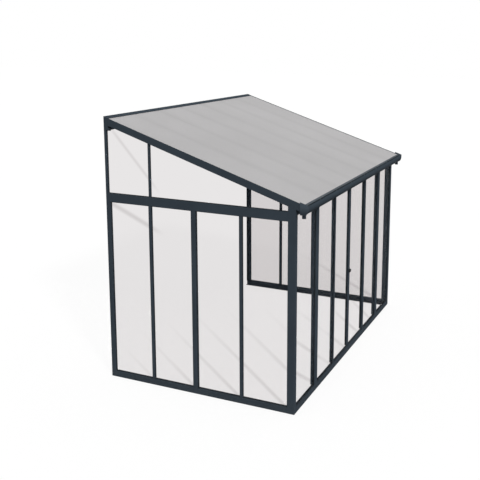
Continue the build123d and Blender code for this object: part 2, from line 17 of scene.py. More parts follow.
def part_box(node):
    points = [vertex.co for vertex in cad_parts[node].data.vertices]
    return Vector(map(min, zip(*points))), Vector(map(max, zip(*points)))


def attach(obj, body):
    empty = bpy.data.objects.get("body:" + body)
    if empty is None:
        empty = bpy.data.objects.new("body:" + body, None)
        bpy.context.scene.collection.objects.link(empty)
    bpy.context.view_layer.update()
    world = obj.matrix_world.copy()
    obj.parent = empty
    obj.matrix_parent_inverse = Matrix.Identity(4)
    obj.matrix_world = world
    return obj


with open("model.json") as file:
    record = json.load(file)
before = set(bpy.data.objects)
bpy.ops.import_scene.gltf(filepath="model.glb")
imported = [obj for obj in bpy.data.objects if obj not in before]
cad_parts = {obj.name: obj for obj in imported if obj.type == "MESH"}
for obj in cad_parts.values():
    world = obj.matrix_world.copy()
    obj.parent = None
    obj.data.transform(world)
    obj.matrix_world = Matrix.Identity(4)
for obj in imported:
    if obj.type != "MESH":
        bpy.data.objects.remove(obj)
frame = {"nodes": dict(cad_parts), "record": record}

log = logging.getLogger("enclosure")
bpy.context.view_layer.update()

Span = tuple[float, float]
Triple = tuple[float, float, float]
Colour = tuple[float, float, float, float]

WHITE: Colour = (1.0, 1.0, 1.0, 1.0)
RISE: Span = (0.0, 1.0)
FALL: Span = (1.0, 0.0)
ALONG_X = Vector((1.0, 0.0, 0.0))
ALONG_Y = Vector((0.0, 1.0, 0.0))
UPWARD = Vector((0.0, 0.0, 1.0))
TO_FRONT = Vector((0.0, -1.0, 0.0))
UNTURNED = Matrix.Identity(4)
SAME_WAY = 0.5
ROUND_STEPS = 2
NOISE_ROUGHNESS = 0.55


class Side(Enum):
    """The two mirrored halves of the enclosure, by the sign of X."""

    LEFT = -1
    RIGHT = 1

    @property
    def label(self) -> str:
        """The side's word in the names of pieces and bodies."""
        return self.name.lower()

    @property
    def outward(self) -> Vector:
        """Direction out of the side wall."""
        return Vector((self.value, 0.0, 0.0))

    @property
    def inward(self) -> Vector:
        """Direction from the side wall into the room."""
        return Vector((-self.value, 0.0, 0.0))

    @property
    def door(self) -> "Body":
        """The door on this side."""
        return Body(f"{self.label}_door")

    def roller(self, number: int) -> "Body":
        """A roller of that door."""
        return Body(f"{self.label}_roller_{number}")


class Body(Enum):
    """Bodies of the frame that carry new pieces."""

    FRAME = "frame"
    LEFT_DOOR = "left_door"
    RIGHT_DOOR = "right_door"
    LEFT_ROLLER_1 = "left_roller_1"
    LEFT_ROLLER_2 = "left_roller_2"
    RIGHT_ROLLER_1 = "right_roller_1"
    RIGHT_ROLLER_2 = "right_roller_2"


class Slot(Enum):
    """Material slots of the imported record."""

    FRAME_METAL = "frame_metal"
    CLEAR_PANE = "clear_pane"
    ROOF_SHEET = "roof_sheet"
    ROLLER_PLASTIC = "roller_plastic"
    BUFFER_RUBBER = "buffer_rubber"
    STEEL = "steel"
    GUTTER_PLASTIC = "gutter_plastic"
    HANDLE_METAL = "handle_metal"


@dataclass
class Wiring:
    """A node tree that nodes are added to and joined in."""

    tree: NodeTree

    def feed(self, socket: NodeSocket, value: object) -> None:
        """Link a socket to another one, or set a plain value on it.

        Args:
            socket: The input.
            value: The socket or the value that it gets.
        """
        if isinstance(value, NodeSocket):
            self.tree.links.new(value, socket)
        else:
            socket.default_value = value

    def node(self, kind: str, inputs: dict | None = None, **settings: object) -> Node:
        """Add a node.

        Args:
            kind: The node's type.
            inputs: Values or sockets for its inputs, by name or number.
            settings: Properties of the node itself.

        Returns:
            The new node.
        """
        made = self.tree.nodes.new(kind)
        for name, value in settings.items():
            setattr(made, name, value)
        for key, value in (inputs or {}).items():
            self.feed(made.inputs[key], value)
        return made

    def calc(self, operation: str, *values: object) -> NodeSocket:
        """Output of a Math node with the given values or sockets."""
        return self.node("ShaderNodeMath", dict(enumerate(values)), operation=operation).outputs[0]

    def largest(self, first: NodeSocket, *others: NodeSocket) -> NodeSocket:
        """Largest of some sockets.

        Args:
            first: A socket.
            others: The sockets that it is compared with.

        Returns:
            The largest value.
        """
        for other in others:
            first = self.calc("MAXIMUM", first, other)
        return first

    def vector(self, operation: str, *values: object) -> NodeOutputs:
        """Outputs of a Vector Math node with the given values or sockets."""
        return self.node("ShaderNodeVectorMath", dict(enumerate(values)), operation=operation).outputs

    def upright(self, vector: NodeSocket) -> NodeSocket:
        """Z of a vector."""
        return self.node("ShaderNodeSeparateXYZ", {0: vector}).outputs["Z"]

    def noise(self, vector: NodeSocket, scale: object, detail: float) -> NodeSocket:
        """Value of a noise texture on the given coordinates."""
        inputs = {"Vector": vector, "Scale": scale, "Detail": detail, "Roughness": NOISE_ROUGHNESS}
        return self.node("ShaderNodeTexNoise", inputs).outputs["Fac"]

    def ramp(self, value: object, low: object, high: object, to: Span) -> NodeSocket:
        """Smooth step of a value between two limits.

        Args:
            value: The value or socket.
            low: Where the step starts.
            high: Where it ends.
            to: The values before and after the step.

        Returns:
            The stepped value.
        """
        inputs = {0: value, 1: low, 2: high, 3: to[0], 4: to[1]}
        return self.node("ShaderNodeMapRange", inputs, interpolation_type="SMOOTHSTEP").outputs[0]

    def blend(self, factor: object, first: object, second: object) -> NodeSocket:
        """Mix of two colours by a factor."""
        return self.node("ShaderNodeMix", {0: factor, 6: first, 7: second}, data_type="RGBA").outputs[2]

    def cover(self, mask: NodeSocket, share: float, below: object, above: object) -> NodeSocket:
        """A colour under a share of another one, where a mask lets that show."""
        return self.blend(self.calc("MULTIPLY", mask, share), below, above)

    def layer(self, share: object, below: NodeSocket, above: NodeSocket) -> NodeSocket:
        """Mix of two shaders by the share of the second."""
        return self.node("ShaderNodeMixShader", {0: share, 1: below, 2: above}).outputs["Shader"]

    def clear(self, colour: Colour = WHITE) -> NodeSocket:
        """Shader that lets light go straight through."""
        return self.node("ShaderNodeBsdfTransparent", {"Color": colour}).outputs["BSDF"]


def empty_tree(owner: bpy.types.ID) -> NodeTree:
    """Give a material or a world an empty node tree.

    Args:
        owner: The material or the world.

    Returns:
        Its tree.
    """
    owner.use_nodes = True
    owner.node_tree.nodes.clear()
    return owner.node_tree


@dataclass(frozen=True)
class Effect:
    """A shader effect that several finishes share, kept as one node group."""

    name: str
    inputs: tuple[str, ...]
    outputs: tuple[str, ...]
    vectors: ClassVar[tuple[str, ...]] = ("Vector", "Across")

    def group(self) -> NodeTree:
        """The effect's node group, built once.

        Returns:
            The group's tree.
        """
        found = bpy.data.node_groups.get(self.name)
        if found:
            return found
        tree = bpy.data.node_groups.new(self.name, "ShaderNodeTree")
        for label in self.inputs:
            kind = "NodeSocketVector" if label in self.vectors else "NodeSocketFloat"
            tree.interface.new_socket(label, in_out="INPUT", socket_type=kind)
        for label in self.outputs:
            tree.interface.new_socket(label, in_out="OUTPUT", socket_type="NodeSocketFloat")
        wiring = Wiring(tree)
        results = self.results(wiring, wiring.node("NodeGroupInput").outputs)
        wiring.node("NodeGroupOutput", dict(zip(self.outputs, results)))
        return tree

    def results(self, wiring: Wiring, source: NodeOutputs) -> tuple[NodeSocket, ...]:
        """Make the nodes of the effect.

        Args:
            wiring: The group's tree.
            source: The group's inputs.

        Returns:
            Sockets in the order of the effect's outputs.
        """
        raise NotImplementedError


@dataclass(frozen=True)
class GrainEffect(Effect):
    """Fine surface texture with a slow change of tone."""

    cloud_detail: float = 3.0
    cloud_limits: Span = (0.3, 0.7)
    fine_detail: float = 2.0

    def results(self, wiring: Wiring, source: NodeOutputs) -> tuple[NodeSocket, ...]:
        """Make the nodes of the grain.

        Args:
            wiring: The group's tree.
            source: The group's inputs.

        Returns:
            Slow tone and fine height.
        """
        cloud = wiring.noise(source["Vector"], source["Cloud"], self.cloud_detail)
        height = wiring.noise(source["Vector"], source["Scale"], self.fine_detail)
        return wiring.ramp(cloud, *self.cloud_limits, RISE), height


@dataclass(frozen=True)
class DustEffect(Effect):
    """Dust on top faces and splash marks near the ground."""

    spot_scale: float = 38.0
    spot_detail: float = 5.0
    spot_limits: Span = (0.35, 0.75)
    level_limits: Span = (0.7, 1.0)
    level_share: float = 0.45

    def results(self, wiring: Wiring, source: NodeOutputs) -> tuple[NodeSocket, ...]:
        """Make the nodes of the dust.

        Args:
            wiring: The group's tree.
            source: The group's inputs.

        Returns:
            Mask of the dust.
        """
        normal = wiring.node("ShaderNodeNewGeometry").outputs["Normal"]
        spots = wiring.noise(source["Vector"], self.spot_scale, self.spot_detail)
        low = wiring.ramp(wiring.upright(source["Vector"]), 0.0, source["Splash"], FALL)
        top = wiring.ramp(wiring.upright(normal), *self.level_limits, (0.0, self.level_share))
        broken = wiring.ramp(spots, *self.spot_limits, RISE)
        return (wiring.calc("MULTIPLY", wiring.largest(low, top), broken),)


@dataclass(frozen=True)
class BandEffect(Effect):
    """Soft parallel bands across one direction."""

    def results(self, wiring: Wiring, source: NodeOutputs) -> tuple[NodeSocket, ...]:
        """Make the nodes of the bands.

        Args:
            wiring: The group's tree.
            source: The group's inputs.

        Returns:
            Mask of the bands.
        """
        along = wiring.vector("DOT_PRODUCT", source["Vector"], source["Across"])["Value"]
        place = wiring.calc("ADD", along, source["Offset"])
        half = wiring.calc("MULTIPLY", source["Pitch"], 0.5)
        away = wiring.calc("PINGPONG", place, half)
        return (wiring.ramp(away, 0.0, source["Reach"], FALL),)


GRAIN = GrainEffect("surface_grain", ("Vector", "Scale", "Cloud"), ("Tone", "Height"))
DUST = DustEffect("settled_dust", ("Vector", "Splash"), ("Mask",))
BANDS = BandEffect("soft_bands", ("Vector", "Across", "Offset", "Pitch", "Reach"), ("Mask",))


@dataclass
class Surface(Wiring):
    """The node tree of a material, with its Object coordinates and its main shader."""

    place: NodeSocket
    shader: Node

    @property
    def body(self) -> NodeSocket:
        """Output of the main shader."""
        return self.shader.outputs["BSDF"]

    def lay(self, effect: Effect, **values: object) -> NodeOutputs:
        """Put an effect into the material.

        Args:
            effect: The effect.
            values: Values or sockets for its inputs, besides the coordinates.

        Returns:
            The outputs of the placed group.
        """
        inputs = {"Vector": self.place, **values}
        return self.node("ShaderNodeGroup", inputs, node_tree=effect.group()).outputs

    def give(self, **values: object) -> None:
        """Feed inputs of the main shader; an underscore stands for a space."""
        for label, value in values.items():
            self.feed(self.shader.inputs[label.replace("_", " ")], value)

    def bump(self, height: NodeSocket, relief: Span) -> None:
        """Give the main shader a bump from a height, with a strength and a depth."""
        inputs = {"Height": height, "Strength": relief[0], "Distance": relief[1]}
        self.give(Normal=self.node("ShaderNodeBump", inputs).outputs["Normal"])


@dataclass(frozen=True)
class Finish:
    """A finish that becomes one material."""

    name: str
    slot: Slot
    colour: Colour
    roughness: float
    # Painted light by height: factors on the colour for a painted shade at the gutter's foot and a painted
    # highlight at its brim, or None.
    painted_height_shading: Span | None = None
    painted_shading_share: ClassVar[float] = 0.85

    def material(self) -> Material:
        """The finish's material, built once.

        Returns:
            The material.
        """
        found = bpy.data.materials.get(self.name)
        if found:
            return found
        made = bpy.data.materials.new(self.name)
        wiring = Wiring(empty_tree(made))
        place = wiring.node("ShaderNodeTexCoord").outputs["Object"]
        inputs = {"Base Color": self.colour, "Roughness": self.roughness}
        shader = wiring.node("ShaderNodeBsdfPrincipled", inputs)
        look = self.dress(Surface(wiring.tree, place, shader))
        wiring.node("ShaderNodeOutputMaterial", {"Surface": look})
        return made

    def dress(self, surface: Surface) -> NodeSocket:
        """Add the finish's detail to its shader.

        Args:
            surface: The material's surface.

        Returns:
            The socket for the surface of the material.
        """
        raise NotImplementedError

    def shade(self, factor: float) -> Colour:
        """The finish's colour, lighter or darker by a factor."""
        return tuple(channel * factor for channel in self.colour[:3]) + (1.0,)

    def tone(self, surface: Surface, cloud: NodeSocket, drift: Span) -> NodeSocket:
        """Colour that drifts over the surface and, where painted height shading is set, runs from a painted
        shade low on the gutter's height to a painted highlight at its brim.

        Args:
            surface: The material's surface.
            cloud: Slow change from 0 to 1.
            drift: Factors on the colour at both ends of that change.

        Returns:
            The colour.
        """
        even = surface.blend(cloud, self.shade(drift[0]), self.shade(drift[1]))
        if self.painted_height_shading is None:
            return even
        # Painted shade below and painted highlight above, over the height of the gutter.
        low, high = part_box("gutter")
        up = surface.ramp(surface.upright(surface.place), low.z, high.z, RISE)
        foot, brim = (surface.blend(self.painted_shading_share, even, self.shade(part)) for part in self.painted_height_shading)
        return surface.blend(up, foot, brim)


@dataclass(frozen=True)
class PowderCoat(Finish):
    """Baked powder paint with a fine orange-peel texture."""

    specular: float = 0.002
    peel: float = 620.0
    cloud: float = 2.2
    drift: Span = (0.92, 1.08)
    splash: float = 0.16
    dust: Colour = (0.16, 0.15, 0.135, 1.0)
    dust_share: float = 0.16
    dulling: float = 0.25
    relief: Span = (0.18, 0.0004)

    def dress(self, surface: Surface) -> NodeSocket:
        """Tone, dust and orange peel.

        Args:
            surface: The material's surface.

        Returns:
            The dressed shader.
        """
        grain = surface.lay(GRAIN, Scale=self.peel, Cloud=self.cloud)
        dust = surface.lay(DUST, Splash=self.splash)["Mask"]
        tone = self.tone(surface, grain["Tone"], self.drift)
        colour = surface.cover(dust, self.dust_share, tone, self.dust)
        rough = surface.ramp(dust, 0.0, 1.0, (self.roughness, self.roughness + self.dulling))
        surface.give(Specular_IOR_Level=self.specular, Base_Color=colour, Roughness=rough)
        surface.bump(grain["Height"], self.relief)
        return surface.body


@dataclass(frozen=True)
class Streaks:
    """Painted shadows: soft parallel lines that fade out around one place."""

    at: Triple
    across: Triple
    offset: float
    pitch: float
    reach: float
    fade: Span
    depth: float
    squeeze: Triple = (1.0, 1.0, 1.0)

    def mask(self, surface: Surface) -> NodeSocket:
        """Strength of the painted shadow lines at each spot.

        Args:
            surface: The material's surface.

        Returns:
            The strength, from 0 to the depth.
        """
        bands = surface.lay(
            BANDS, Across=self.across, Offset=self.offset, Pitch=self.pitch, Reach=self.reach
        )["Mask"]
        shifted = surface.vector("SUBTRACT", surface.place, self.at)[0]
        scaled = surface.vector("MULTIPLY", shifted, self.squeeze)[0]
        away = surface.vector("LENGTH", scaled)["Value"]
        return surface.calc("MULTIPLY", bands, surface.ramp(away, *self.fade, (self.depth, 0.0)))


# A pitch wider than a wall, so that one painted shadow line stands alone.
LONE = 5.0
# Painted shadows on the panes: darker lines that stand in for the shadows of the frame's rafters and posts,
# falling on the house wall and the floor behind the glass.
UPPER_PAINTED_SHADOW = Streaks(
    at=(-1.685, 0.815, 2.453),
    across=(0.0, -0.74, 0.673),
    offset=-1.048,
    pitch=LONE,
    reach=0.03,
    fade=(0.25, 0.5),
    depth=0.7,
)
MIDDLE_PAINTED_SHADOW = Streaks(
    at=(-1.685, 0.854, 1.839),
    across=(0.0, -0.394, 0.919),
    offset=-1.353,
    pitch=LONE,
    reach=0.045,
    fade=(0.2, 0.45),
    depth=1.0,
)
LEFT_PAINTED_SHADOWS = Streaks(
    at=(-1.685, -0.9, -0.7),
    across=(0.0, -0.78, 1.0),
    offset=-0.376,
    pitch=0.402,
    reach=0.045,
    fade=(0.8, 1.85),
    depth=0.85,
    squeeze=(20.0, 0.75, 1.0),
)
CORNER_PAINTED_SHADOWS = Streaks(
    at=(-1.6, -1.0, 0.15),
    across=(0.65, -0.65, 1.0),
    offset=0.0,
    pitch=0.327,
    reach=0.038,
    fade=(0.1, 1.05),
    depth=0.95,
    squeeze=(1.0, 20.0, 1.0),
)
FRONT_PAINTED_SHADOWS = Streaks(
    at=(0.05, -1.0, -0.6),
    across=(0.65, -0.65, 1.0),
    offset=0.0,
    pitch=0.327,
    reach=0.04,
    fade=(0.7, 1.65),
    depth=0.6,
)
RIGHT_PAINTED_SHADOW = Streaks(
    at=(1.685, -0.9, 0.05),
    across=(0.0, -0.408, 0.913),
    offset=-0.406,
    pitch=LONE,
    reach=0.04,
    fade=(0.1, 1.7),
    depth=0.7,
)
PAINTED_SHADOWS = (UPPER_PAINTED_SHADOW, MIDDLE_PAINTED_SHADOW, LEFT_PAINTED_SHADOWS, CORNER_PAINTED_SHADOWS, FRONT_PAINTED_SHADOWS, RIGHT_PAINTED_SHADOW)


@dataclass(frozen=True)
class ClearPane(Finish):
    """Clear glazing with a faint tint, painted shadow lines and a soft film."""

    # The darker colour of the painted shadow lines.
    painted_shadow_colour: Colour = (0.64, 0.62, 0.62, 1.0)
    painted_shadows: tuple[Streaks, ...] = PAINTED_SHADOWS
    shadow: Colour = (0.5, 0.5, 0.5, 1.0)
    bending: float = 1.015
    film_scale: float = 9.0
    film_detail: float = 3.0
    film_limits: Span = (0.4, 0.8)
    film_haze: float = 0.03

    def dress(self, surface: Surface) -> NodeSocket:
        """Painted shadow lines in the tint, and light that passes straight through for shadows.

        Args:
            surface: The material's surface.

        Returns:
            The dressed shader.
        """
        # Painted shadow: the tint darkens towards the painted shadow colour along the lines.
        strength = surface.largest(*[group.mask(surface) for group in self.painted_shadows])
        tint = surface.blend(strength, self.colour, self.painted_shadow_colour)
        film = surface.noise(surface.place, self.film_scale, self.film_detail)
        rough = surface.ramp(film, *self.film_limits, (self.roughness, self.roughness + self.film_haze))
        surface.give(Transmission_Weight=1.0, IOR=self.bending, Base_Color=tint, Roughness=rough)
        ray = surface.node("ShaderNodeLightPath").outputs["Is Shadow Ray"]
        return surface.layer(ray, surface.body, surface.clear(self.shadow))


@dataclass(frozen=True)
class OpalSheet(Finish):
    """Opal twin-wall sheet: cell lines down the slope and soft painted shadows of the rafters under it."""

    specular: float = 0.35
    rafter_pitch: float = 0.4877
    rafter_shadow_reach: float = 0.12
    rafter_shadow_share: float = 0.3
    rafter_shadow_factor: float = 0.86
    cell_pitch: float = 0.0219
    cell_reach: float = 0.0035
    cell_share: float = 0.22
    cell_shade: float = 0.88
    cell_height: float = -0.6
    peel: float = 260.0
    cloud: float = 1.1
    drift: Span = (0.965, 1.03)
    splash: float = 0.05
    dust: Colour = (0.42, 0.4, 0.37, 1.0)
    dust_share: float = 0.1
    dusty_roughness: float = 0.7
    relief: Span = (0.12, 0.0006)
    passes: float = 0.2
    glows: float = 0.2

    def lines(self, surface: Surface, offset: float, pitch: float, reach: float) -> NodeSocket:
        """Mask of soft lines down the slope."""
        sizes = {"Across": ALONG_X, "Offset": offset, "Pitch": pitch, "Reach": reach}
        return surface.lay(BANDS, **sizes)["Mask"]

    def dress(self, surface: Surface) -> NodeSocket:
        """Painted rafter shadows, cells, dust and a soft unevenness; some light passes to the room below.

        Args:
            surface: The material's surface.

        Returns:
            The dressed shader.
        """
        # Painted shadow: soft darker bands down the slope over each rafter.
        rafters = self.lines(surface, self.rafter_pitch / 2, self.rafter_pitch, self.rafter_shadow_reach)
        cells = self.lines(surface, 0.0, self.cell_pitch, self.cell_reach)
        grain = surface.lay(GRAIN, Scale=self.peel, Cloud=self.cloud)
        dust = surface.lay(DUST, Splash=self.splash)["Mask"]
        tone = self.tone(surface, grain["Tone"], self.drift)
        rafter_shadowed = surface.cover(rafters, self.rafter_shadow_share, tone, self.shade(self.rafter_shadow_factor))
        lined = surface.cover(cells, self.cell_share, rafter_shadowed, self.shade(self.cell_shade))
        soiled = surface.cover(dust, self.dust_share, lined, self.dust)
        rough = surface.ramp(dust, 0.0, 1.0, (self.roughness, self.dusty_roughness))
        surface.give(Specular_IOR_Level=self.specular, Base_Color=soiled, Roughness=rough)
        sunk = surface.calc("MULTIPLY", cells, self.cell_height)
        surface.bump(surface.calc("ADD", sunk, grain["Height"]), self.relief)
        glow = surface.node("ShaderNodeBsdfTranslucent", {"Color": soiled}).outputs["BSDF"]
        sheet = surface.layer(self.glows, surface.body, glow)
        ray = surface.node("ShaderNodeLightPath").outputs
        lighting = surface.largest(ray["Is Shadow Ray"], ray["Is Diffuse Ray"])
        return surface.layer(surface.calc("MULTIPLY", lighting, self.passes), sheet, surface.clear())


@dataclass(frozen=True)
class Moulding(Finish):
    """Moulded plastic or rubber with a spark-eroded grain."""

    grain: float = 900.0
    specular: float = 0.3
    cloud: float = 6.0
    drift: Span = (0.88, 1.1)
    splash: float = 0.1
    dust: Colour = (0.2, 0.19, 0.17, 1.0)
    dust_share: float = 0.2
    gloss_drift: float = 0.06
    relief: Span = (0.25, 0.0003)

    def dress(self, surface: Surface) -> NodeSocket:
        """Grain, tone and a little dust.

        Args:
            surface: The material's surface.

        Returns:
            The dressed shader.
        """
        grain = surface.lay(GRAIN, Scale=self.grain, Cloud=self.cloud)
        dust = surface.lay(DUST, Splash=self.splash)["Mask"]
        tone = self.tone(surface, grain["Tone"], self.drift)
        colour = surface.cover(dust, self.dust_share, tone, self.dust)
        limits = (self.roughness - self.gloss_drift, self.roughness + self.gloss_drift)
        rough = surface.ramp(grain["Tone"], 0.0, 1.0, limits)
        surface.give(Specular_IOR_Level=self.specular, Base_Color=colour, Roughness=rough)
        surface.bump(grain["Height"], self.relief)
        return surface.body


@dataclass(frozen=True)
class BrushedSteel(Finish):
    """Zinc-plated steel with drawn lines along one axis."""

    stretch: Triple = (4.0, 180.0, 900.0)
    line_detail: float = 3.0
    line_limits: Span = (0.3, 0.7)
    dulling: float = 0.2
    spangle: float = 45.0
    drift: Span = (0.85, 1.08)
    relief: Span = (0.12, 0.0002)

    def dress(self, surface: Surface) -> NodeSocket:
        """Spangle in the tone, and drawn lines in the gloss and the relief.

        Args:
            surface: The material's surface.

        Returns:
            The dressed shader.
        """
        mapping = surface.node("ShaderNodeMapping", {"Vector": surface.place, "Scale": self.stretch})
        lines = surface.noise(mapping.outputs["Vector"], 1.0, self.line_detail)
        spangle = surface.lay(GRAIN, Cloud=self.spangle)["Tone"]
        tone = self.tone(surface, spangle, self.drift)
        rough = surface.ramp(lines, *self.line_limits, (self.roughness, self.roughness + self.dulling))
        surface.give(Metallic=1.0, Base_Color=tone, Roughness=rough)
        surface.bump(lines, self.relief)
        return surface.body


@dataclass(frozen=True)
class Pile(Finish):
    """Short woven pile of a brush seal."""

    sheen: float = 0.4
    tuft_pitch: float = 0.0022
    tuft_reach: float = 0.0011
    gap_shade: float = 0.5
    hair: float = 1500.0
    hair_detail: float = 2.0
    drift: Span = (0.6, 1.3)
    relief: Span = (0.5, 0.0006)

    def dress(self, surface: Surface) -> NodeSocket:
        """Tufts in tone and relief.

        Args:
            surface: The material's surface.

        Returns:
            The dressed shader.
        """
        sizes = {"Across": UPWARD, "Offset": 0.0, "Pitch": self.tuft_pitch, "Reach": self.tuft_reach}
        tufts = surface.lay(BANDS, **sizes)["Mask"]
        hairs = surface.noise(surface.place, self.hair, self.hair_detail)
        tone = self.tone(surface, hairs, self.drift)
        colour = surface.blend(tufts, self.shade(self.gap_shade), tone)
        surface.give(Sheen_Weight=self.sheen, Base_Color=colour)
        surface.bump(surface.calc("ADD", tufts, hairs), self.relief)
        return surface.body


ANTHRACITE: Colour = (0.048, 0.063, 0.079, 1.0)
COAT = PowderCoat("anthracite_coat", Slot.FRAME_METAL, ANTHRACITE, 0.52)
# Gutter coat with painted shading: darker at the gutter's foot, with a painted highlight towards its brim.
HEIGHT_SHADED_COAT = PowderCoat("height_shaded_coat", Slot.FRAME_METAL, ANTHRACITE, 0.52, painted_height_shading=(0.42, 1.25))
# A lighter copy of the anthracite coat for the panel end channels: a painted highlight that stands in for the
# light on their upward-facing lip.
LIT_SLATE = PowderCoat("lit_slate_coat", Slot.FRAME_METAL, (0.105, 0.122, 0.138, 1.0), 0.5)
KNOB = PowderCoat("satin_black_paint", Slot.HANDLE_METAL, (0.018, 0.02, 0.023, 1.0), 0.35, specular=0.4)
PANE = ClearPane("clear_glazing", Slot.CLEAR_PANE, (0.803, 0.786, 0.787, 1.0), 0.0)
SHEET = OpalSheet("opal_sheet", Slot.ROOF_SHEET, (0.585, 0.575, 0.58, 1.0), 0.5)
NYLON = Moulding("moulded_nylon", Slot.ROLLER_PLASTIC, (0.72, 0.70, 0.65, 1.0), 0.45)
RUBBER = Moulding(
    "black_rubber", Slot.BUFFER_RUBBER, (0.018, 0.018, 0.019, 1.0), 0.7, grain=500.0, specular=0.2
)
GASKET = Moulding(
    "grey_gasket", Slot.BUFFER_RUBBER, (0.036, 0.044, 0.052, 1.0), 0.7, grain=500.0, specular=0.05
)
# Its painted shading by height darkens the outlets and weep hoods below the gutter, and gives the caps a
# painted highlight near the brim.
GUTTER = Moulding(
    "anthracite_plastic",
    Slot.GUTTER_PLASTIC,
    (0.047, 0.061, 0.076, 1.0),
    0.5,
    painted_height_shading=(0.75, 1.7),
    specular=0.006,
)
ZINC = BrushedSteel("plated_steel", Slot.STEEL, (0.58, 0.58, 0.57, 1.0), 0.3)
BRUSH = Pile("grey_pile", Slot.BUFFER_RUBBER, (0.06, 0.06, 0.062, 1.0), 0.95)
FINISHES = {made.slot: made for made in (COAT, PANE, SHEET, NYLON, RUBBER, GUTTER, ZINC, KNOB)}


def rectangle(low: Span, high: Span) -> tuple[Span, ...]:
    """Outline of a rectangle between two of its corners."""
    return low, (high[0], low[1]), high, (low[0], high[1])


def across_x(x: float, outline: Iterable[Span]) -> list[Vector]:
    """Corners of an outline, given in Y and Z, at an X."""
    return [Vector((x, y, z)) for y, z in outline]


def across_y(y: float, outline: Iterable[Span]) -> list[Vector]:
    """Corners of an outline, given in X and Z, at a Y."""
    return [Vector((x, y, z)) for x, z in outline]


def looking(place: Vector, outward: Vector) -> Matrix:
    """Matrix at a place whose Z is a direction."""
    return Matrix.Translation(place) @ outward.to_track_quat("Z", "Y").to_matrix().to_4x4()


def sharp_rim(faces: Iterable[BMFace], normal: Vector) -> list[BMEdge]:
    """Edges of flat faces, where they meet faces that look another way.

    Args:
        faces: The flat faces.
        normal: The direction that they look in.

    Returns:
        The edges.
    """
    rim = {}
    for face in faces:
        for edge in face.edges:
            if any(other.normal.dot(normal) < SAME_WAY for other in edge.link_faces):
                rim[edge] = None
    return list(rim)


def soften(bm: BMesh, edges: Iterable[BMEdge], size: float) -> None:
    """Round some edges.

    Args:
        bm: The mesh.
        edges: The edges.
        size: How far the rounding reaches.
    """
    bmesh.ops.bevel(
        bm,
        geom=list(edges),
        offset=size,
        offset_type="OFFSET",
        segments=ROUND_STEPS,
        profile=0.5,
        affect="EDGES",
        material=-1,
    )


def turn_face(face: BMFace, outward: Vector) -> BMFace:
    """Make a face look in a direction.

    Args:
        face: The face.
        outward: The direction.

    Returns:
        The same face.
    """
    face.normal_update()
    if face.normal.dot(outward) < 0:
        face.normal_flip()
    return face


def outline_face(bm: BMesh, corners: Sequence[Vector], outward: Vector) -> BMFace:
    """A new flat face between corners, which looks in a direction."""
    return turn_face(bm.faces.new([bm.verts.new(corner) for corner in corners]), outward)


def raise_faces(bm: BMesh, faces: Sequence[BMFace], outward: Vector, tall: float, rounding: float) -> None:
    """Extrude flat faces into a solid with rounded upper edges.

    Args:
        bm: The mesh.
        faces: The flat faces.
        outward: The direction of the extrusion.
        tall: Its height.
        rounding: Rounding of the upper edges; none where it is 0.
    """
    made = bmesh.ops.extrude_face_region(bm, geom=list(faces))["geom"]
    verts = [item for item in made if isinstance(item, BMVert)]
    top = [item for item in made if isinstance(item, BMFace)]
    bmesh.ops.translate(bm, verts=verts, vec=outward * tall)
    whole = {face for vert in verts for face in vert.link_faces} | set(faces)
    bmesh.ops.recalc_face_normals(bm, faces=list(whole))
    if rounding:
        soften(bm, sharp_rim(top, outward), rounding)


def raised_plate(bm: BMesh, corners: Sequence[Vector], outward: Vector, tall: float, rounding: float) -> None:
    """A flat plate of an outline; outward is the side that it stands up on."""
    raise_faces(bm, [outline_face(bm, corners, outward)], outward, tall, rounding)


def raised_ring(
    bm: BMesh, face: BMFace, outward: Vector, wide: float, tall: float, rounding: float, even: bool = True
) -> None:
    """A bead that runs round the inside of a face, which goes.

    Args:
        bm: The mesh.
        face: The face.
        outward: The direction in which the bead stands up.
        wide: Width of the bead.
        tall: Height of the bead.
        rounding: Rounding of its upper edges.
        even: Whether its width is kept at the corners.
    """
    ring = bmesh.ops.inset_region(
        bm, faces=[face], thickness=wide, use_boundary=True, use_even_offset=even
    )["faces"]
    bmesh.ops.delete(bm, geom=[face], context="FACES_ONLY")
    raise_faces(bm, ring, outward, tall, rounding)


def rounded_bar(bm: BMesh, low: Vector, high: Vector, rounding: float, turn: Matrix = UNTURNED) -> None:
    """Bar with rounded edges between two corners.

    Args:
        bm: The mesh.
        low: Its lowest corner.
        high: Its highest corner.
        rounding: Rounding of its edges.
        turn: Matrix that the bar is then turned by.
    """
    matrix = turn @ (Matrix.Translation((low + high) / 2) @ Matrix.Diagonal((*(high - low), 1.0)))
    made = bmesh.ops.create_cube(bm, size=1.0, matrix=matrix)["verts"]
    soften(bm, dict.fromkeys(edge for vert in made for edge in vert.link_edges), rounding)


def add_object(name: str, data: bpy.types.ID) -> Object:
    """Put a new object into the scene.

    Args:
        name: Its name.
        data: Its mesh, lamp or camera.

    Returns:
        The object.
    """
    made = bpy.data.objects.new(name, data)
    bpy.context.scene.collection.objects.link(made)
    return made


def add_mesh(bm: BMesh, name: str, material: Material) -> Object:
    """Turn a mesh into an object of one material.

    Args:
        bm: The mesh, which is freed.
        name: Name of the object.
        material: Its material.

    Returns:
        The object.
    """
    mesh = bpy.data.meshes.new(name)
    bm.to_mesh(mesh)
    bm.free()
    mesh.materials.append(material)
    return add_object(name, mesh)


def add_piece(bm: BMesh, name: str, body: Body, finish: Finish) -> None:
    """Turn a mesh into a piece of the enclosure.

    Args:
        bm: The mesh, which is freed.
        name: Name of the piece.
        body: The body that it rides on.
        finish: Its finish.
    """
    made = add_mesh(bm, name, finish.material())
    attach(made, body.value)
    log.info("%s: %d faces on %s", name, len(made.data.polygons), body.value)


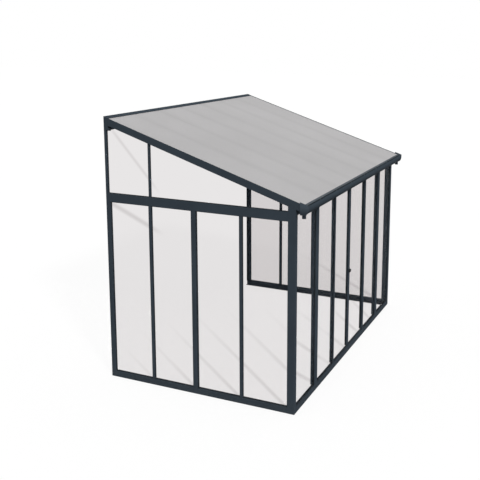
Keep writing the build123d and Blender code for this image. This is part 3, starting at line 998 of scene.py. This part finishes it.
@dataclass(frozen=True)
class ButtonScrew:
    """Button-head screw with a socket.

    Height, taper and rim are shares of the head's radius, and the socket's depth is a share of its height.
    """

    radius: float
    tall: float = 0.5
    taper: float = 0.72
    rim: float = 0.3
    socket: float = 0.6
    sides: int = 12

    def drive(self, bm: BMesh, place: Vector, outward: Vector) -> None:
        """Set a screw on a surface.

        Args:
            bm: The mesh.
            place: The point of the surface that it sits on.
            outward: The direction that its head looks in.
        """
        tall = self.radius * self.tall
        made = bmesh.ops.create_cone(
            bm,
            cap_ends=True,
            segments=self.sides,
            radius1=self.radius,
            radius2=self.radius * self.taper,
            depth=tall,
            matrix=looking(place + outward * tall / 2, outward),
        )["verts"]
        faces = {face for vert in made for face in vert.link_faces}
        for face in faces:
            face.normal_update()
        head = max(faces, key=lambda face: face.calc_center_median().dot(outward))
        bmesh.ops.inset_region(bm, faces=[head], thickness=self.radius * self.rim)
        bmesh.ops.translate(bm, verts=list(head.verts), vec=outward * -tall * self.socket)


@dataclass
class Structure:
    """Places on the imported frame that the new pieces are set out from."""

    eave_z: float = 2.082
    pitch: float = math.radians(18.0)
    rafters: int = 6
    panel_under: float = 0.058
    panel_top: float = 0.068
    pane_t: float = 0.004
    pane_inset: float = 0.018
    front_pane_inset: float = 0.010
    door_stile_w: float = 0.030
    half_w: float = field(init=False)
    front_y: float = field(init=False)
    house_y: float = field(init=False)

    def __post_init__(self) -> None:
        """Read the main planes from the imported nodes."""
        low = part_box("left_corner_post")[0]
        self.half_w, self.front_y = -low.x, low.y
        self.house_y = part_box("left_sill")[1].y

    def roof(self, y: float, above: float = 0.0) -> float:
        """Height at y of the plane that lies above the underside of the rafters by a distance."""
        return self.eave_z + (y - self.front_y) * math.tan(self.pitch) + above / math.cos(self.pitch)

    def slope(self, y: float, above: float) -> Matrix:
        """Matrix at y on such a plane, with Y up the slope and Z square to the roof."""
        return Matrix.Translation((0.0, y, self.roof(y, above))) @ Matrix.Rotation(self.pitch, 4, "X")

    def rafter_lines(self) -> list[float]:
        """X of the middle of each inner rafter."""
        boxes = [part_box(f"rafter_{number}") for number in range(1, self.rafters + 1)]
        return [(low.x + high.x) / 2 for low, high in boxes]

    def pane_x(self, side: Side) -> float:
        """X of the outer faces of a side wall's panes."""
        return side.value * (self.half_w - self.pane_inset)


@dataclass
class Glazing:
    """Glazing beads on both faces of every pane, and the cover strips of the slim mullions."""

    at: Structure
    wide: float = 0.007
    tall: float = 0.003
    rounding: float = 0.0009
    mullion_w: float = 0.027
    cover_w: float = 0.033
    cover_t: float = 0.0025
    plate_gap: float = 0.0015
    door_rail_h: float = 0.034
    rail_show: float = 0.006

    def build(self) -> None:
        """Make all the beads and the cover strips."""
        for side in Side:
            self.wall_beads(side)
            self.gable_beads(side)
            self.mullion_covers(side)
            self.front_beads(side)
        for side in Side:
            self.door_beads(side.door)

    def beads(self, bm: BMesh, corners: Sequence[Vector], outward: Vector) -> None:
        """A bead on the outer face of a pane and one on its inner face.

        Args:
            bm: The mesh.
            corners: Corners of the opening, on the outer face of the pane.
            outward: The direction out of the enclosure.
        """
        inner = [corner - outward * self.at.pane_t for corner in corners]
        for opening, away in ((corners, outward), (inner, -outward)):
            face = outline_face(bm, opening, away)
            raised_ring(bm, face, away, self.wide, self.tall, self.rounding)

    def side_bays(self) -> list[Span]:
        """Front and back edges of the bays of a side wall.

        Returns:
            A pair of Y for each bay.
        """
        mid_low, mid_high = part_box("left_mid_post")
        slim_low, slim_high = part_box("left_side_mullions")
        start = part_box("left_corner_post")[1].y
        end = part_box("wall_stiles")[0].y
        return [
            (start, slim_low.y),
            (slim_low.y + self.mullion_w, mid_low.y),
            (mid_high.y, slim_high.y - self.mullion_w),
            (slim_high.y, end),
        ]

    def wall_beads(self, side: Side) -> None:
        """Beads of the four wall panes of a side.

        Args:
            side: The side.
        """
        low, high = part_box("left_sill")[1].z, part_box("left_transom")[0].z
        bm = bmesh.new()
        for front, back in self.side_bays():
            outline = rectangle((front, low), (back, high))
            self.beads(bm, across_x(self.at.pane_x(side), outline), side.outward)
        add_piece(bm, f"{side.label}_wall_beads", Body.FRAME, GASKET)

    def gable_beads(self, side: Side) -> None:
        """Beads of the two gable panes of a side.

        Args:
            side: The side.
        """
        roof = self.at.roof
        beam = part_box("left_transom")[1].z
        bar_low, bar_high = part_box("gable_mullions")
        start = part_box("left_corner_post")[1].y
        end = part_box("left_wall_post")[0].y
        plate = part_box("wall_plate")[0]
        step_y, step_z = plate.y - self.plate_gap, plate.z - self.plate_gap
        fore = ((start, beam), (bar_low.y, beam), (bar_low.y, roof(bar_low.y)), (start, roof(start)))
        rear = (
            (bar_high.y, beam),
            (end, beam),
            (end, step_z),
            (step_y, step_z),
            (step_y, roof(step_y)),
            (bar_high.y, roof(bar_high.y)),
        )
        bm = bmesh.new()
        for outline in (fore, rear):
            self.beads(bm, across_x(self.at.pane_x(side), outline), side.outward)
        add_piece(bm, f"{side.label}_gable_beads", Body.FRAME, GASKET)

    def mullion_covers(self, side: Side) -> None:
        """Cover strips on the outer faces of a side's slim mullions, from the sill to the transom.

        Args:
            side: The side.
        """
        low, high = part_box("left_side_mullions")
        half = self.cover_w / 2
        bm = bmesh.new()
        for y in (low.y + self.mullion_w / 2, high.y - self.mullion_w / 2):
            outline = rectangle((y - half, low.z), (y + half, high.z))
            corners = across_x(side.value * -low.x, outline)
            raised_plate(bm, corners, side.outward, self.cover_t, self.rounding)
        add_piece(bm, f"{side.label}_mullion_covers", Body.FRAME, COAT)

    def front_beads(self, side: Side) -> None:
        """Beads of the two fixed front panes of a side.

        Args:
            side: The side.
        """
        y = self.at.front_y + self.at.front_pane_inset
        low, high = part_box("front_sill")[1].z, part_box("front_header")[0].z
        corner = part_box("left_corner_post")[1].x
        post_low, post_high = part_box("left_door_post")
        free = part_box("interlock_stiles")[0].x
        bm = bmesh.new()
        for start, end in ((corner, post_low.x), (post_high.x, free)):
            outline = rectangle((-side.value * start, low), (-side.value * end, high))
            self.beads(bm, across_y(y, outline), TO_FRONT)
        add_piece(bm, f"{side.label}_front_beads", Body.FRAME, GASKET)

    def door_beads(self, door: Body) -> None:
        """Beads of a door's pane.

        Args:
            door: The door.
        """
        low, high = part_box(f"{door.value}_stiles")
        stile = self.at.door_stile_w
        y = (low.y + high.y) / 2 - self.at.pane_t / 2
        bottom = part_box(f"{door.value}_rails")[0].z + self.door_rail_h
        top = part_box("front_header")[0].z - self.rail_show
        outline = rectangle((low.x + stile, bottom), (high.x - stile, top))
        bm = bmesh.new()
        self.beads(bm, across_y(y, outline), TO_FRONT)
        add_piece(bm, f"{door.value}_beads", door, GASKET)


@dataclass
class Joints:
    """Joint plates of the middle posts, and screws of the posts, the end rafters and the wall plate."""

    at: Structure
    plate_t: float = 0.002
    plate_w: float = 0.036
    plate_reach: float = 0.045
    plate_rounding: float = 0.0008
    plate_steps: tuple[float, ...] = (-0.03, -0.012, 0.012, 0.03)
    plate_screw: ButtonScrew = ButtonScrew(0.0045)
    rafter_front: Span = (0.02, 0.06)
    rafter_back: float = 0.075
    rafter_up: float = 0.022
    rafter_screw: ButtonScrew = ButtonScrew(0.0038)
    cover_lap: float = 0.012
    cover_lift: float = 0.006
    cover_shift: float = 0.006
    cover_screw: ButtonScrew = ButtonScrew(0.004)

    def build(self) -> None:
        """Make the plates and the screws."""
        plates, screws = bmesh.new(), bmesh.new()
        for side in Side:
            self.post_plates(plates, screws, side)
            self.rafter_screws(screws, side)
        self.cover_screws(screws)
        add_piece(plates, "joint_plates", Body.FRAME, COAT)
        add_piece(screws, "frame_screws", Body.FRAME, COAT)

    def post_plates(self, plates: BMesh, screws: BMesh, side: Side) -> None:
        """Plates on the indoor face, where the middle post meets the sill and the transom.

        Args:
            plates: Mesh of the plates.
            screws: Mesh of their screws.
            side: The side.
        """
        low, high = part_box("left_mid_post")
        x = side.value * (self.at.half_w - (high.x - low.x))
        y = (low.y + high.y) / 2
        half = self.plate_w / 2
        for level in (low.z, high.z):
            outline = rectangle((y - half, level - self.plate_reach), (y + half, level + self.plate_reach))
            raised_plate(plates, across_x(x, outline), side.inward, self.plate_t, self.plate_rounding)
            for step in self.plate_steps:
                place = Vector((x, y, level + step)) + side.inward * self.plate_t
                self.plate_screw.drive(screws, place, side.inward)

    def rafter_screws(self, screws: BMesh, side: Side) -> None:
        """Screws in the outer face of an end rafter, over the corner post and beside the wall plate.

        Args:
            screws: Mesh of the screws.
            side: The side.
        """
        x = side.value * self.at.half_w
        fore = [self.at.front_y + step for step in self.rafter_front]
        for y in (*fore, self.at.house_y - self.rafter_back):
            place = Vector((x, y, self.at.roof(y, self.rafter_up)))
            self.rafter_screw.drive(screws, place, side.outward)

    def cover_screws(self, screws: BMesh) -> None:
        """Screws through the sloping cover of the wall plate, one over each inner rafter.

        Args:
            screws: Mesh of the screws.
        """
        low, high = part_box("wall_plate")
        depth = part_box("left_wall_post")[1].y - (low.y + self.cover_lap)
        front = high.y - depth
        cover = self.at.roof(front, self.at.panel_top) + self.cover_lift
        fall = (high.z - cover) / (high.y - front)
        outward = Vector((0.0, -fall, 1.0)).normalized()
        y = (front + high.y) / 2 - self.cover_shift
        for x in self.at.rafter_lines():
            self.cover_screw.drive(screws, Vector((x, y, cover + (y - front) * fall)), outward)


@dataclass
class RoofTrim:
    """Strips over the joints of the roof panels, channels on their ends and the lip under the cover."""

    at: Structure
    strip_w: float = 0.016
    strip_t: float = 0.0004
    strip_gap: float = 0.003
    strip_tuck: float = 0.010
    strip_rounding: float = 0.00016
    drip: float = 0.092
    end_reach: float = 0.023
    end_t: float = 0.001
    end_gap: float = 0.001
    lip_in: float = 0.013
    lip_short: float = 0.002
    lip_w: float = 0.006
    lip_heights: Span = (0.0002, 0.0022)
    lip_rounding: float = 0.0006

    def build(self) -> None:
        """Make the strips, the channels and the lip."""
        self.joint_strips()
        self.end_profiles()
        self.cover_lip()

    def joint_strips(self) -> None:
        """Pale sealing strips over the joints of the panels."""
        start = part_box("roof_panel_1")[0].y + self.end_reach + self.strip_gap
        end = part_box("wall_plate")[0].y + self.strip_tuck
        length = (end - start) / math.cos(self.at.pitch)
        turn = self.at.slope(start, self.at.panel_top)
        half = self.strip_w / 2
        bm = bmesh.new()
        for x in self.at.rafter_lines():
            far = Vector((x + half, length, self.strip_t))
            rounded_bar(bm, Vector((x - half, 0.0, 0.0)), far, self.strip_rounding, turn)
        add_piece(bm, "panel_joint_strips", Body.FRAME, SHEET)

    def end_profiles(self) -> None:
        """Dark channels that close the cells at the lower ends of the panels, in a lighter coat that is
        partly a painted highlight.
        """
        turn = self.at.slope(self.at.front_y - self.drip, self.at.panel_under)
        thick = self.at.panel_top - self.at.panel_under
        outline = (
            (self.end_reach, thick),
            (self.end_reach, thick + self.end_t),
            (-self.end_t, thick + self.end_t),
            (-self.end_t, -self.end_t),
            (self.end_reach, -self.end_t),
            (self.end_reach, 0.0),
            (0.0, 0.0),
            (0.0, thick),
        )
        bm = bmesh.new()
        for number in range(1, self.at.rafters + 2):
            low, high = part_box(f"roof_panel_{number}")
            start, end = low.x + self.end_gap, high.x - self.end_gap
            corners = [turn @ corner for corner in across_x(start, outline)]
            raised_plate(bm, corners, ALONG_X, end - start, 0.0)
        add_piece(bm, "panel_end_profiles", Body.FRAME, LIT_SLATE)

    def cover_lip(self) -> None:
        """Rubber lip between the cover of the wall plate and the panels."""
        low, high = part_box("wall_plate")
        turn = self.at.slope(low.y + self.lip_in, self.at.panel_top)
        reach = high.x - self.lip_short
        bottom, top = self.lip_heights
        bm = bmesh.new()
        near, far = Vector((-reach, 0.0, bottom)), Vector((reach, self.lip_w, top))
        rounded_bar(bm, near, far, self.lip_rounding, turn)
        add_piece(bm, "cover_lip_seal", Body.FRAME, RUBBER)


@dataclass
class GutterFittings:
    """Straps across the gutter and screws of its caps."""

    at: Structure
    strap_w: float = 0.018
    strap_t: float = 0.0018
    strap_drop: float = 0.032
    strap_ear: float = 0.014
    strap_screw: ButtonScrew = ButtonScrew(0.0042)
    skin: float = 0.0027
    front_curve: float = 0.0022
    cap_edge: float = 0.012
    cap_top: float = 0.014
    cap_front: float = 0.02
    cap_proud: float = 0.0005
    cap_screw: ButtonScrew = ButtonScrew(0.0036)

    def build(self) -> None:
        """Make the straps and the screws."""
        straps, screws = bmesh.new(), bmesh.new()
        for x in self.at.rafter_lines():
            self.strap(straps, screws, x)
        for side in Side:
            self.cap_screws(screws, side)
        add_piece(straps, "gutter_straps", Body.FRAME, ZINC)
        add_piece(screws, "gutter_screws", Body.FRAME, ZINC)

    def strap(self, straps: BMesh, screws: BMesh, middle: float) -> None:
        """A strap with an ear at each end, and the screw in its rear ear.

        Args:
            straps: Mesh of the straps.
            screws: Mesh of the screws.
            middle: X of the strap's middle.
        """
        low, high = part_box("gutter")
        x = middle - self.strap_w / 2
        thin = self.strap_t
        start, end = low.y + self.skin + self.front_curve, high.y - self.skin
        base = high.z - self.strap_drop
        top = base + self.strap_ear
        outline = (
            (start, base - thin),
            (end, base - thin),
            (end, top),
            (end - thin, top),
            (end - thin, base),
            (start + thin, base),
            (start + thin, top),
            (start, top),
        )
        raised_plate(straps, across_x(x, outline), ALONG_X, self.strap_w, 0.0)
        place = Vector((x + self.strap_w / 2, end - thin, base + self.strap_ear / 2))
        self.strap_screw.drive(screws, place, TO_FRONT)

    def cap_screws(self, screws: BMesh, side: Side) -> None:
        """Three screws in an end cap.

        Args:
            screws: Mesh of the screws.
            side: The side of the cap.
        """
        low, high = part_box("gutter")
        back = high.y - self.cap_edge
        spots = (
            (back, low.z + self.cap_edge),
            (back, high.z - self.cap_top),
            (low.y + self.cap_front, high.z - self.cap_front),
        )
        for spot in across_x(side.value * self.at.half_w, spots):
            self.cap_screw.drive(screws, spot + side.outward * self.cap_proud, side.outward)


@dataclass
class DoorFittings:
    """Seals, stile covers, keeper plates, screws and bearing shields of the sliding doors."""

    at: Structure
    end_gap: float = 0.004
    pile_w: float = 0.006
    pile_t: float = 0.0012
    pile_insets: Span = (0.006, 0.018)
    cover_t: float = 0.012
    cover_inset: float = 0.0015
    cover_rounding: float = 0.0015
    seal_t: float = 0.0012
    seal_half: float = 0.004
    seal_rounding: float = 0.0005
    lock_z: float = 0.985
    lock_below: float = 0.045
    lock_above: float = 0.06
    keeper_half: float = 0.0058
    keeper_below: float = 0.012
    keeper_above: float = 0.031
    keeper_rim: float = 0.0028
    keeper_tab: float = 0.012
    keeper_t: float = 0.0008
    keeper_rounding: float = 0.0002
    keeper_sink: float = 0.0006
    keeper_screw: ButtonScrew = ButtonScrew(0.0021)
    rail_steps: Span = (0.027, 1.99)
    rail_screw: ButtonScrew = ButtonScrew(0.0034)
    rollers: tuple[int, ...] = (1, 2)
    shield_r: float = 0.0068
    shield_w: float = 0.0033
    shield_t: float = 0.0006
    shield_rounding: float = 0.0002
    shield_sides: int = 24

    def build(self) -> None:
        """Make every fitting of the doors."""
        self.brush_seals()
        for side in Side:
            self.stile_covers(side.door)
            self.meeting_seal(side)
            self.keeper_plate(side)
            self.rail_screws(side)
            for number in self.rollers:
                self.bearing_shields(f"{side.door.value}_roller_{number}", side.roller(number))

    def edge(self, side: Side, outer: bool) -> Span:
        """A vertical edge of a door, in the middle of its thickness.

        Args:
            side: The door's side.
            outer: Whether it is the outer edge or the one where the doors meet.

        Returns:
            X and Y of the edge.
        """
        low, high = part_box(f"{side.door.value}_stiles")
        x = low.x if (side is Side.LEFT) == outer else high.x
        return x, (low.y + high.y) / 2

    def brush_seals(self) -> None:
        """Pile strips on the back of the interlocking stiles."""
        low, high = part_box("interlock_stiles")
        half = self.pile_w / 2
        bm = bmesh.new()
        for side in Side:
            for inset in self.pile_insets:
                x = side.value * (high.x - inset)
                near = Vector((x - half, high.y, low.z + self.end_gap))
                far = Vector((x + half, high.y + self.pile_t, high.z - self.end_gap))
                rounded_bar(bm, near, far, self.seal_rounding)
        add_piece(bm, "interlock_brush_seals", Body.FRAME, BRUSH)

    def stile_covers(self, door: Body) -> None:
        """Cover profiles on the indoor faces of a door's stiles, between the sill and the header.

        Args:
            door: The door.
        """
        low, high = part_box(f"{door.value}_stiles")
        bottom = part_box("front_sill")[1].z + self.end_gap
        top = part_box("front_header")[0].z - self.end_gap
        wide = self.at.door_stile_w - 2 * self.cover_inset
        bm = bmesh.new()
        for x in (low.x + self.cover_inset, high.x - self.cover_inset - wide):
            far = Vector((x + wide, high.y + self.cover_t, top))
            rounded_bar(bm, Vector((x, high.y, bottom)), far, self.cover_rounding)
        add_piece(bm, f"{door.value}_stile_covers", door, COAT)

    def meeting_seal(self, side: Side) -> None:
        """Rubber beads along the meeting edge of a door, below and above the lock.

        Args:
            side: The door's side.
        """
        low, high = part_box(f"{side.door.value}_stiles")
        edge, y = self.edge(side, outer=False)
        start, end = sorted((edge, edge - side.value * self.seal_t))
        below = (low.z + self.end_gap, self.lock_z - self.lock_below)
        above = (self.lock_z + self.lock_above, high.z - self.end_gap)
        bm = bmesh.new()
        for bottom, top in (below, above):
            far = Vector((end, y + self.seal_half, top))
            rounded_bar(bm, Vector((start, y - self.seal_half, bottom)), far, self.seal_rounding)
        add_piece(bm, f"{side.door.value}_meeting_seal", side.door, RUBBER)

    def keeper_plate(self, side: Side) -> None:
        """Steel plate round the slot for the hook, with a screw above and below.

        Args:
            side: The door's side.
        """
        edge, y = self.edge(side, outer=False)
        left, right = y - self.keeper_half, y + self.keeper_half
        bottom, top = self.lock_z - self.keeper_below, self.lock_z + self.keeper_above
        bm = bmesh.new()
        corners = across_x(edge, rectangle((left, bottom), (right, top)))
        face = outline_face(bm, corners, side.inward)
        raised_ring(bm, face, side.inward, self.keeper_rim, self.keeper_t, self.keeper_rounding)
        for lower, upper in ((bottom - self.keeper_tab, bottom), (top, top + self.keeper_tab)):
            tab = across_x(edge, rectangle((left, lower), (right, upper)))
            raised_plate(bm, tab, side.inward, self.keeper_t, 0.0)
            sunk = side.inward * (self.keeper_t - self.keeper_sink)
            self.keeper_screw.drive(bm, Vector((edge, y, (lower + upper) / 2)) + sunk, side.inward)
        add_piece(bm, f"{side.door.value}_keeper_plate", side.door, ZINC)

    def rail_screws(self, side: Side) -> None:
        """Screws in the outer edge of a door that hold its rails.

        Args:
            side: The door's side.
        """
        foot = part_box(f"{side.door.value}_stiles")[0].z
        edge, y = self.edge(side, outer=True)
        bm = bmesh.new()
        for step in self.rail_steps:
            self.rail_screw.drive(bm, Vector((edge, y, foot + step)), side.outward)
        add_piece(bm, f"{side.door.value}_rail_screws", side.door, ZINC)

    def bearing_shields(self, node: str, roller: Body) -> None:
        """Thin steel rings on both faces of a roller.

        Args:
            node: The roller's node.
            roller: The roller's body.
        """
        low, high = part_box(node)
        middle = (low + high) / 2
        bm = bmesh.new()
        for outward, y in ((TO_FRONT, low.y), (ALONG_Y, high.y)):
            matrix = looking(Vector((middle.x, y, middle.z)), outward)
            verts = bmesh.ops.create_circle(
                bm, cap_ends=True, segments=self.shield_sides, radius=self.shield_r, matrix=matrix
            )["verts"]
            disc = turn_face(verts[0].link_faces[0], outward)
            sizes = (self.shield_w, self.shield_t, self.shield_rounding)
            raised_ring(bm, disc, outward, *sizes, even=False)
        add_piece(bm, f"{node}_shields", roller, ZINC)


@dataclass
class Drainage:
    """Hooded weep slots along the outer faces of the sills."""

    at: Structure
    long: float = 0.034
    tall: float = 0.009
    proud: float = 0.0022
    level: float = 0.016
    rounding: float = 0.00088
    side_parts: tuple[float, ...] = (0.16, 0.37, 0.62, 0.86)
    front_parts: tuple[float, ...] = (-0.82, -0.5, -0.16, 0.16, 0.5, 0.82)
    outline: tuple[Span, ...] = ((-1.0, 0.0), (1.0, 0.0), (1.0, 0.7), (0.8, 1.0), (-0.8, 1.0), (-1.0, 0.7))

    def build(self) -> None:
        """Make the hoods of all the sills."""
        bm = bmesh.new()
        for side in Side:
            for part in self.side_parts:
                y = self.at.front_y + part * (self.at.house_y - self.at.front_y)
                place = Vector((side.value * self.at.half_w, y, self.level))
                self.hood(bm, place, ALONG_Y, side.outward)
        for part in self.front_parts:
            place = Vector((part * self.at.half_w, self.at.front_y, self.level))
            self.hood(bm, place, ALONG_X, TO_FRONT)
        add_piece(bm, "weep_hoods", Body.FRAME, GUTTER)

    def hood(self, bm: BMesh, place: Vector, along: Vector, outward: Vector) -> None:
        """One hood, open below.

        Args:
            bm: The mesh.
            place: Middle of its lower edge.
            along: The direction of that edge.
            outward: The direction out of the sill.
        """
        corners = []
        for wide, high in self.outline:
            corners.append(place + along * (wide * self.long / 2) + UPWARD * (high * self.tall))
        raised_plate(bm, corners, outward, self.proud, self.rounding)


@dataclass
class Studio:
    """Floor, lights and camera."""

    camera_at: Triple = (-8.077, -3.6305, 3.6965)
    right: Triple = (0.3944, -0.91892, 0.00568)
    ahead: Triple = (0.90637, 0.38798, -0.16721)
    sensor: float = 36.0
    lens: float = 56.123
    shift: Span = (-0.09375, -0.16042)
    far: float = 200.0
    key_from: Triple = (-0.508, -0.64, 0.574)
    key: float = 1.35
    key_spread: float = 7.0
    top_from: Triple = (0.0, -0.05, 1.0)
    top: float = 0.35
    top_spread: float = 90.0
    sky: float = 0.5
    floor_reach: float = 60.0
    floor_cells: int = 4
    floor_z: float = -0.0005
    floor_glow: float = 0.86
    floor_level: float = 1.04
    floor_tones: Span = (0.4, 0.92)
    plain_rays: ClassVar[tuple[str, ...]] = ("Is Camera Ray", "Is Glossy Ray", "Is Transmission Ray")

    def build(self) -> None:
        """Set up the whole studio."""
        bpy.context.scene.view_settings.view_transform = "Standard"
        self.world()
        self.floor()
        self.lamp("key_light", self.key_from, self.key, self.key_spread)
        self.lamp("top_light", self.top_from, self.top, self.top_spread)
        self.camera()

    def seen(self, wiring: Wiring) -> NodeSocket:
        """1 for the rays that show the background, 0 for the rays that light the object."""
        path = wiring.node("ShaderNodeLightPath").outputs
        return wiring.largest(*[path[label] for label in self.plain_rays])

    def world(self) -> None:
        """White for the eye, softer as light."""
        world = bpy.data.worlds.new("studio")
        bpy.context.scene.world = world
        wiring = Wiring(empty_tree(world))
        level = wiring.ramp(self.seen(wiring), 0.0, 1.0, (self.sky, 1.0))
        light = wiring.node("ShaderNodeBackground", {"Color": WHITE, "Strength": level})
        wiring.node("ShaderNodeOutputWorld", {"Surface": light.outputs["Background"]})

    def floor_material(self) -> Material:
        """Pale material that keeps a soft shadow and is clear from below.

        Returns:
            The material.
        """
        material = bpy.data.materials.new("pale_floor")
        wiring = Wiring(empty_tree(material))
        seen = self.seen(wiring)
        tone = wiring.ramp(seen, 0.0, 1.0, self.floor_tones)
        matt = wiring.node("ShaderNodeBsdfDiffuse", {"Color": tone}).outputs["BSDF"]
        glow = wiring.node("ShaderNodeEmission", {"Color": WHITE, "Strength": self.floor_level})
        share = wiring.calc("MULTIPLY", seen, self.floor_glow)
        face = wiring.layer(share, matt, glow.outputs["Emission"])
        under = wiring.node("ShaderNodeNewGeometry").outputs["Backfacing"]
        look = wiring.layer(under, face, wiring.clear())
        wiring.node("ShaderNodeOutputMaterial", {"Surface": look})
        return material

    def floor(self) -> None:
        """Lay the floor."""
        bm = bmesh.new()
        cells = self.floor_cells
        bmesh.ops.create_grid(bm, x_segments=cells, y_segments=cells, size=self.floor_reach)
        made = add_mesh(bm, "studio_floor", self.floor_material())
        made.location.z = self.floor_z

    def lamp(self, name: str, source: Triple, strength: float, spread: float) -> None:
        """Add a distant soft light.

        Args:
            name: Name of the lamp.
            source: Direction towards the light.
            strength: Its strength.
            spread: The angle that it fills, in degrees.
        """
        data = bpy.data.lights.new(name, "SUN")
        data.energy = strength
        data.angle = math.radians(spread)
        made = add_object(name, data)
        made.rotation_euler = Vector(source).to_track_quat("Z", "Y").to_euler()

    def camera(self) -> None:
        """Place the camera at the photograph's viewpoint."""
        data = bpy.data.cameras.new("view")
        data.sensor_width = self.sensor
        data.lens = self.lens
        data.shift_x, data.shift_y = self.shift
        data.clip_end = self.far
        right, ahead = Vector(self.right), Vector(self.ahead)
        turn = Matrix((right, right.cross(ahead), -ahead)).transposed().to_4x4()
        made = add_object("view", data)
        made.matrix_world = Matrix.Translation(self.camera_at) @ turn
        bpy.context.scene.camera = made


@dataclass
class Dresser:
    """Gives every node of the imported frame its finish."""

    own: ClassVar[dict[str, Finish]] = {"gutter": HEIGHT_SHADED_COAT}

    def build(self) -> None:
        """Put each node's own finish on it, or else the finish of its slot."""
        slots = {part["node"]: part["material_slot"] for part in frame["record"]["subparts"]}
        for name, node in frame["nodes"].items():
            finish = self.own.get(name) or FINISHES[Slot(slots[name])]
            node.data.materials.clear()
            node.data.materials.append(finish.material())
            log.info("%s: %s", name, finish.name)


def main() -> None:
    """Build the enclosure's looks in order."""
    logging.basicConfig(level=logging.INFO, format="%(name)s %(message)s")
    at = Structure()
    Studio().build()
    Dresser().build()
    for assembly in (Glazing, Joints, RoofTrim, GutterFittings, DoorFittings, Drainage):
        assembly(at).build()


if __name__ == "__main__":
    main()
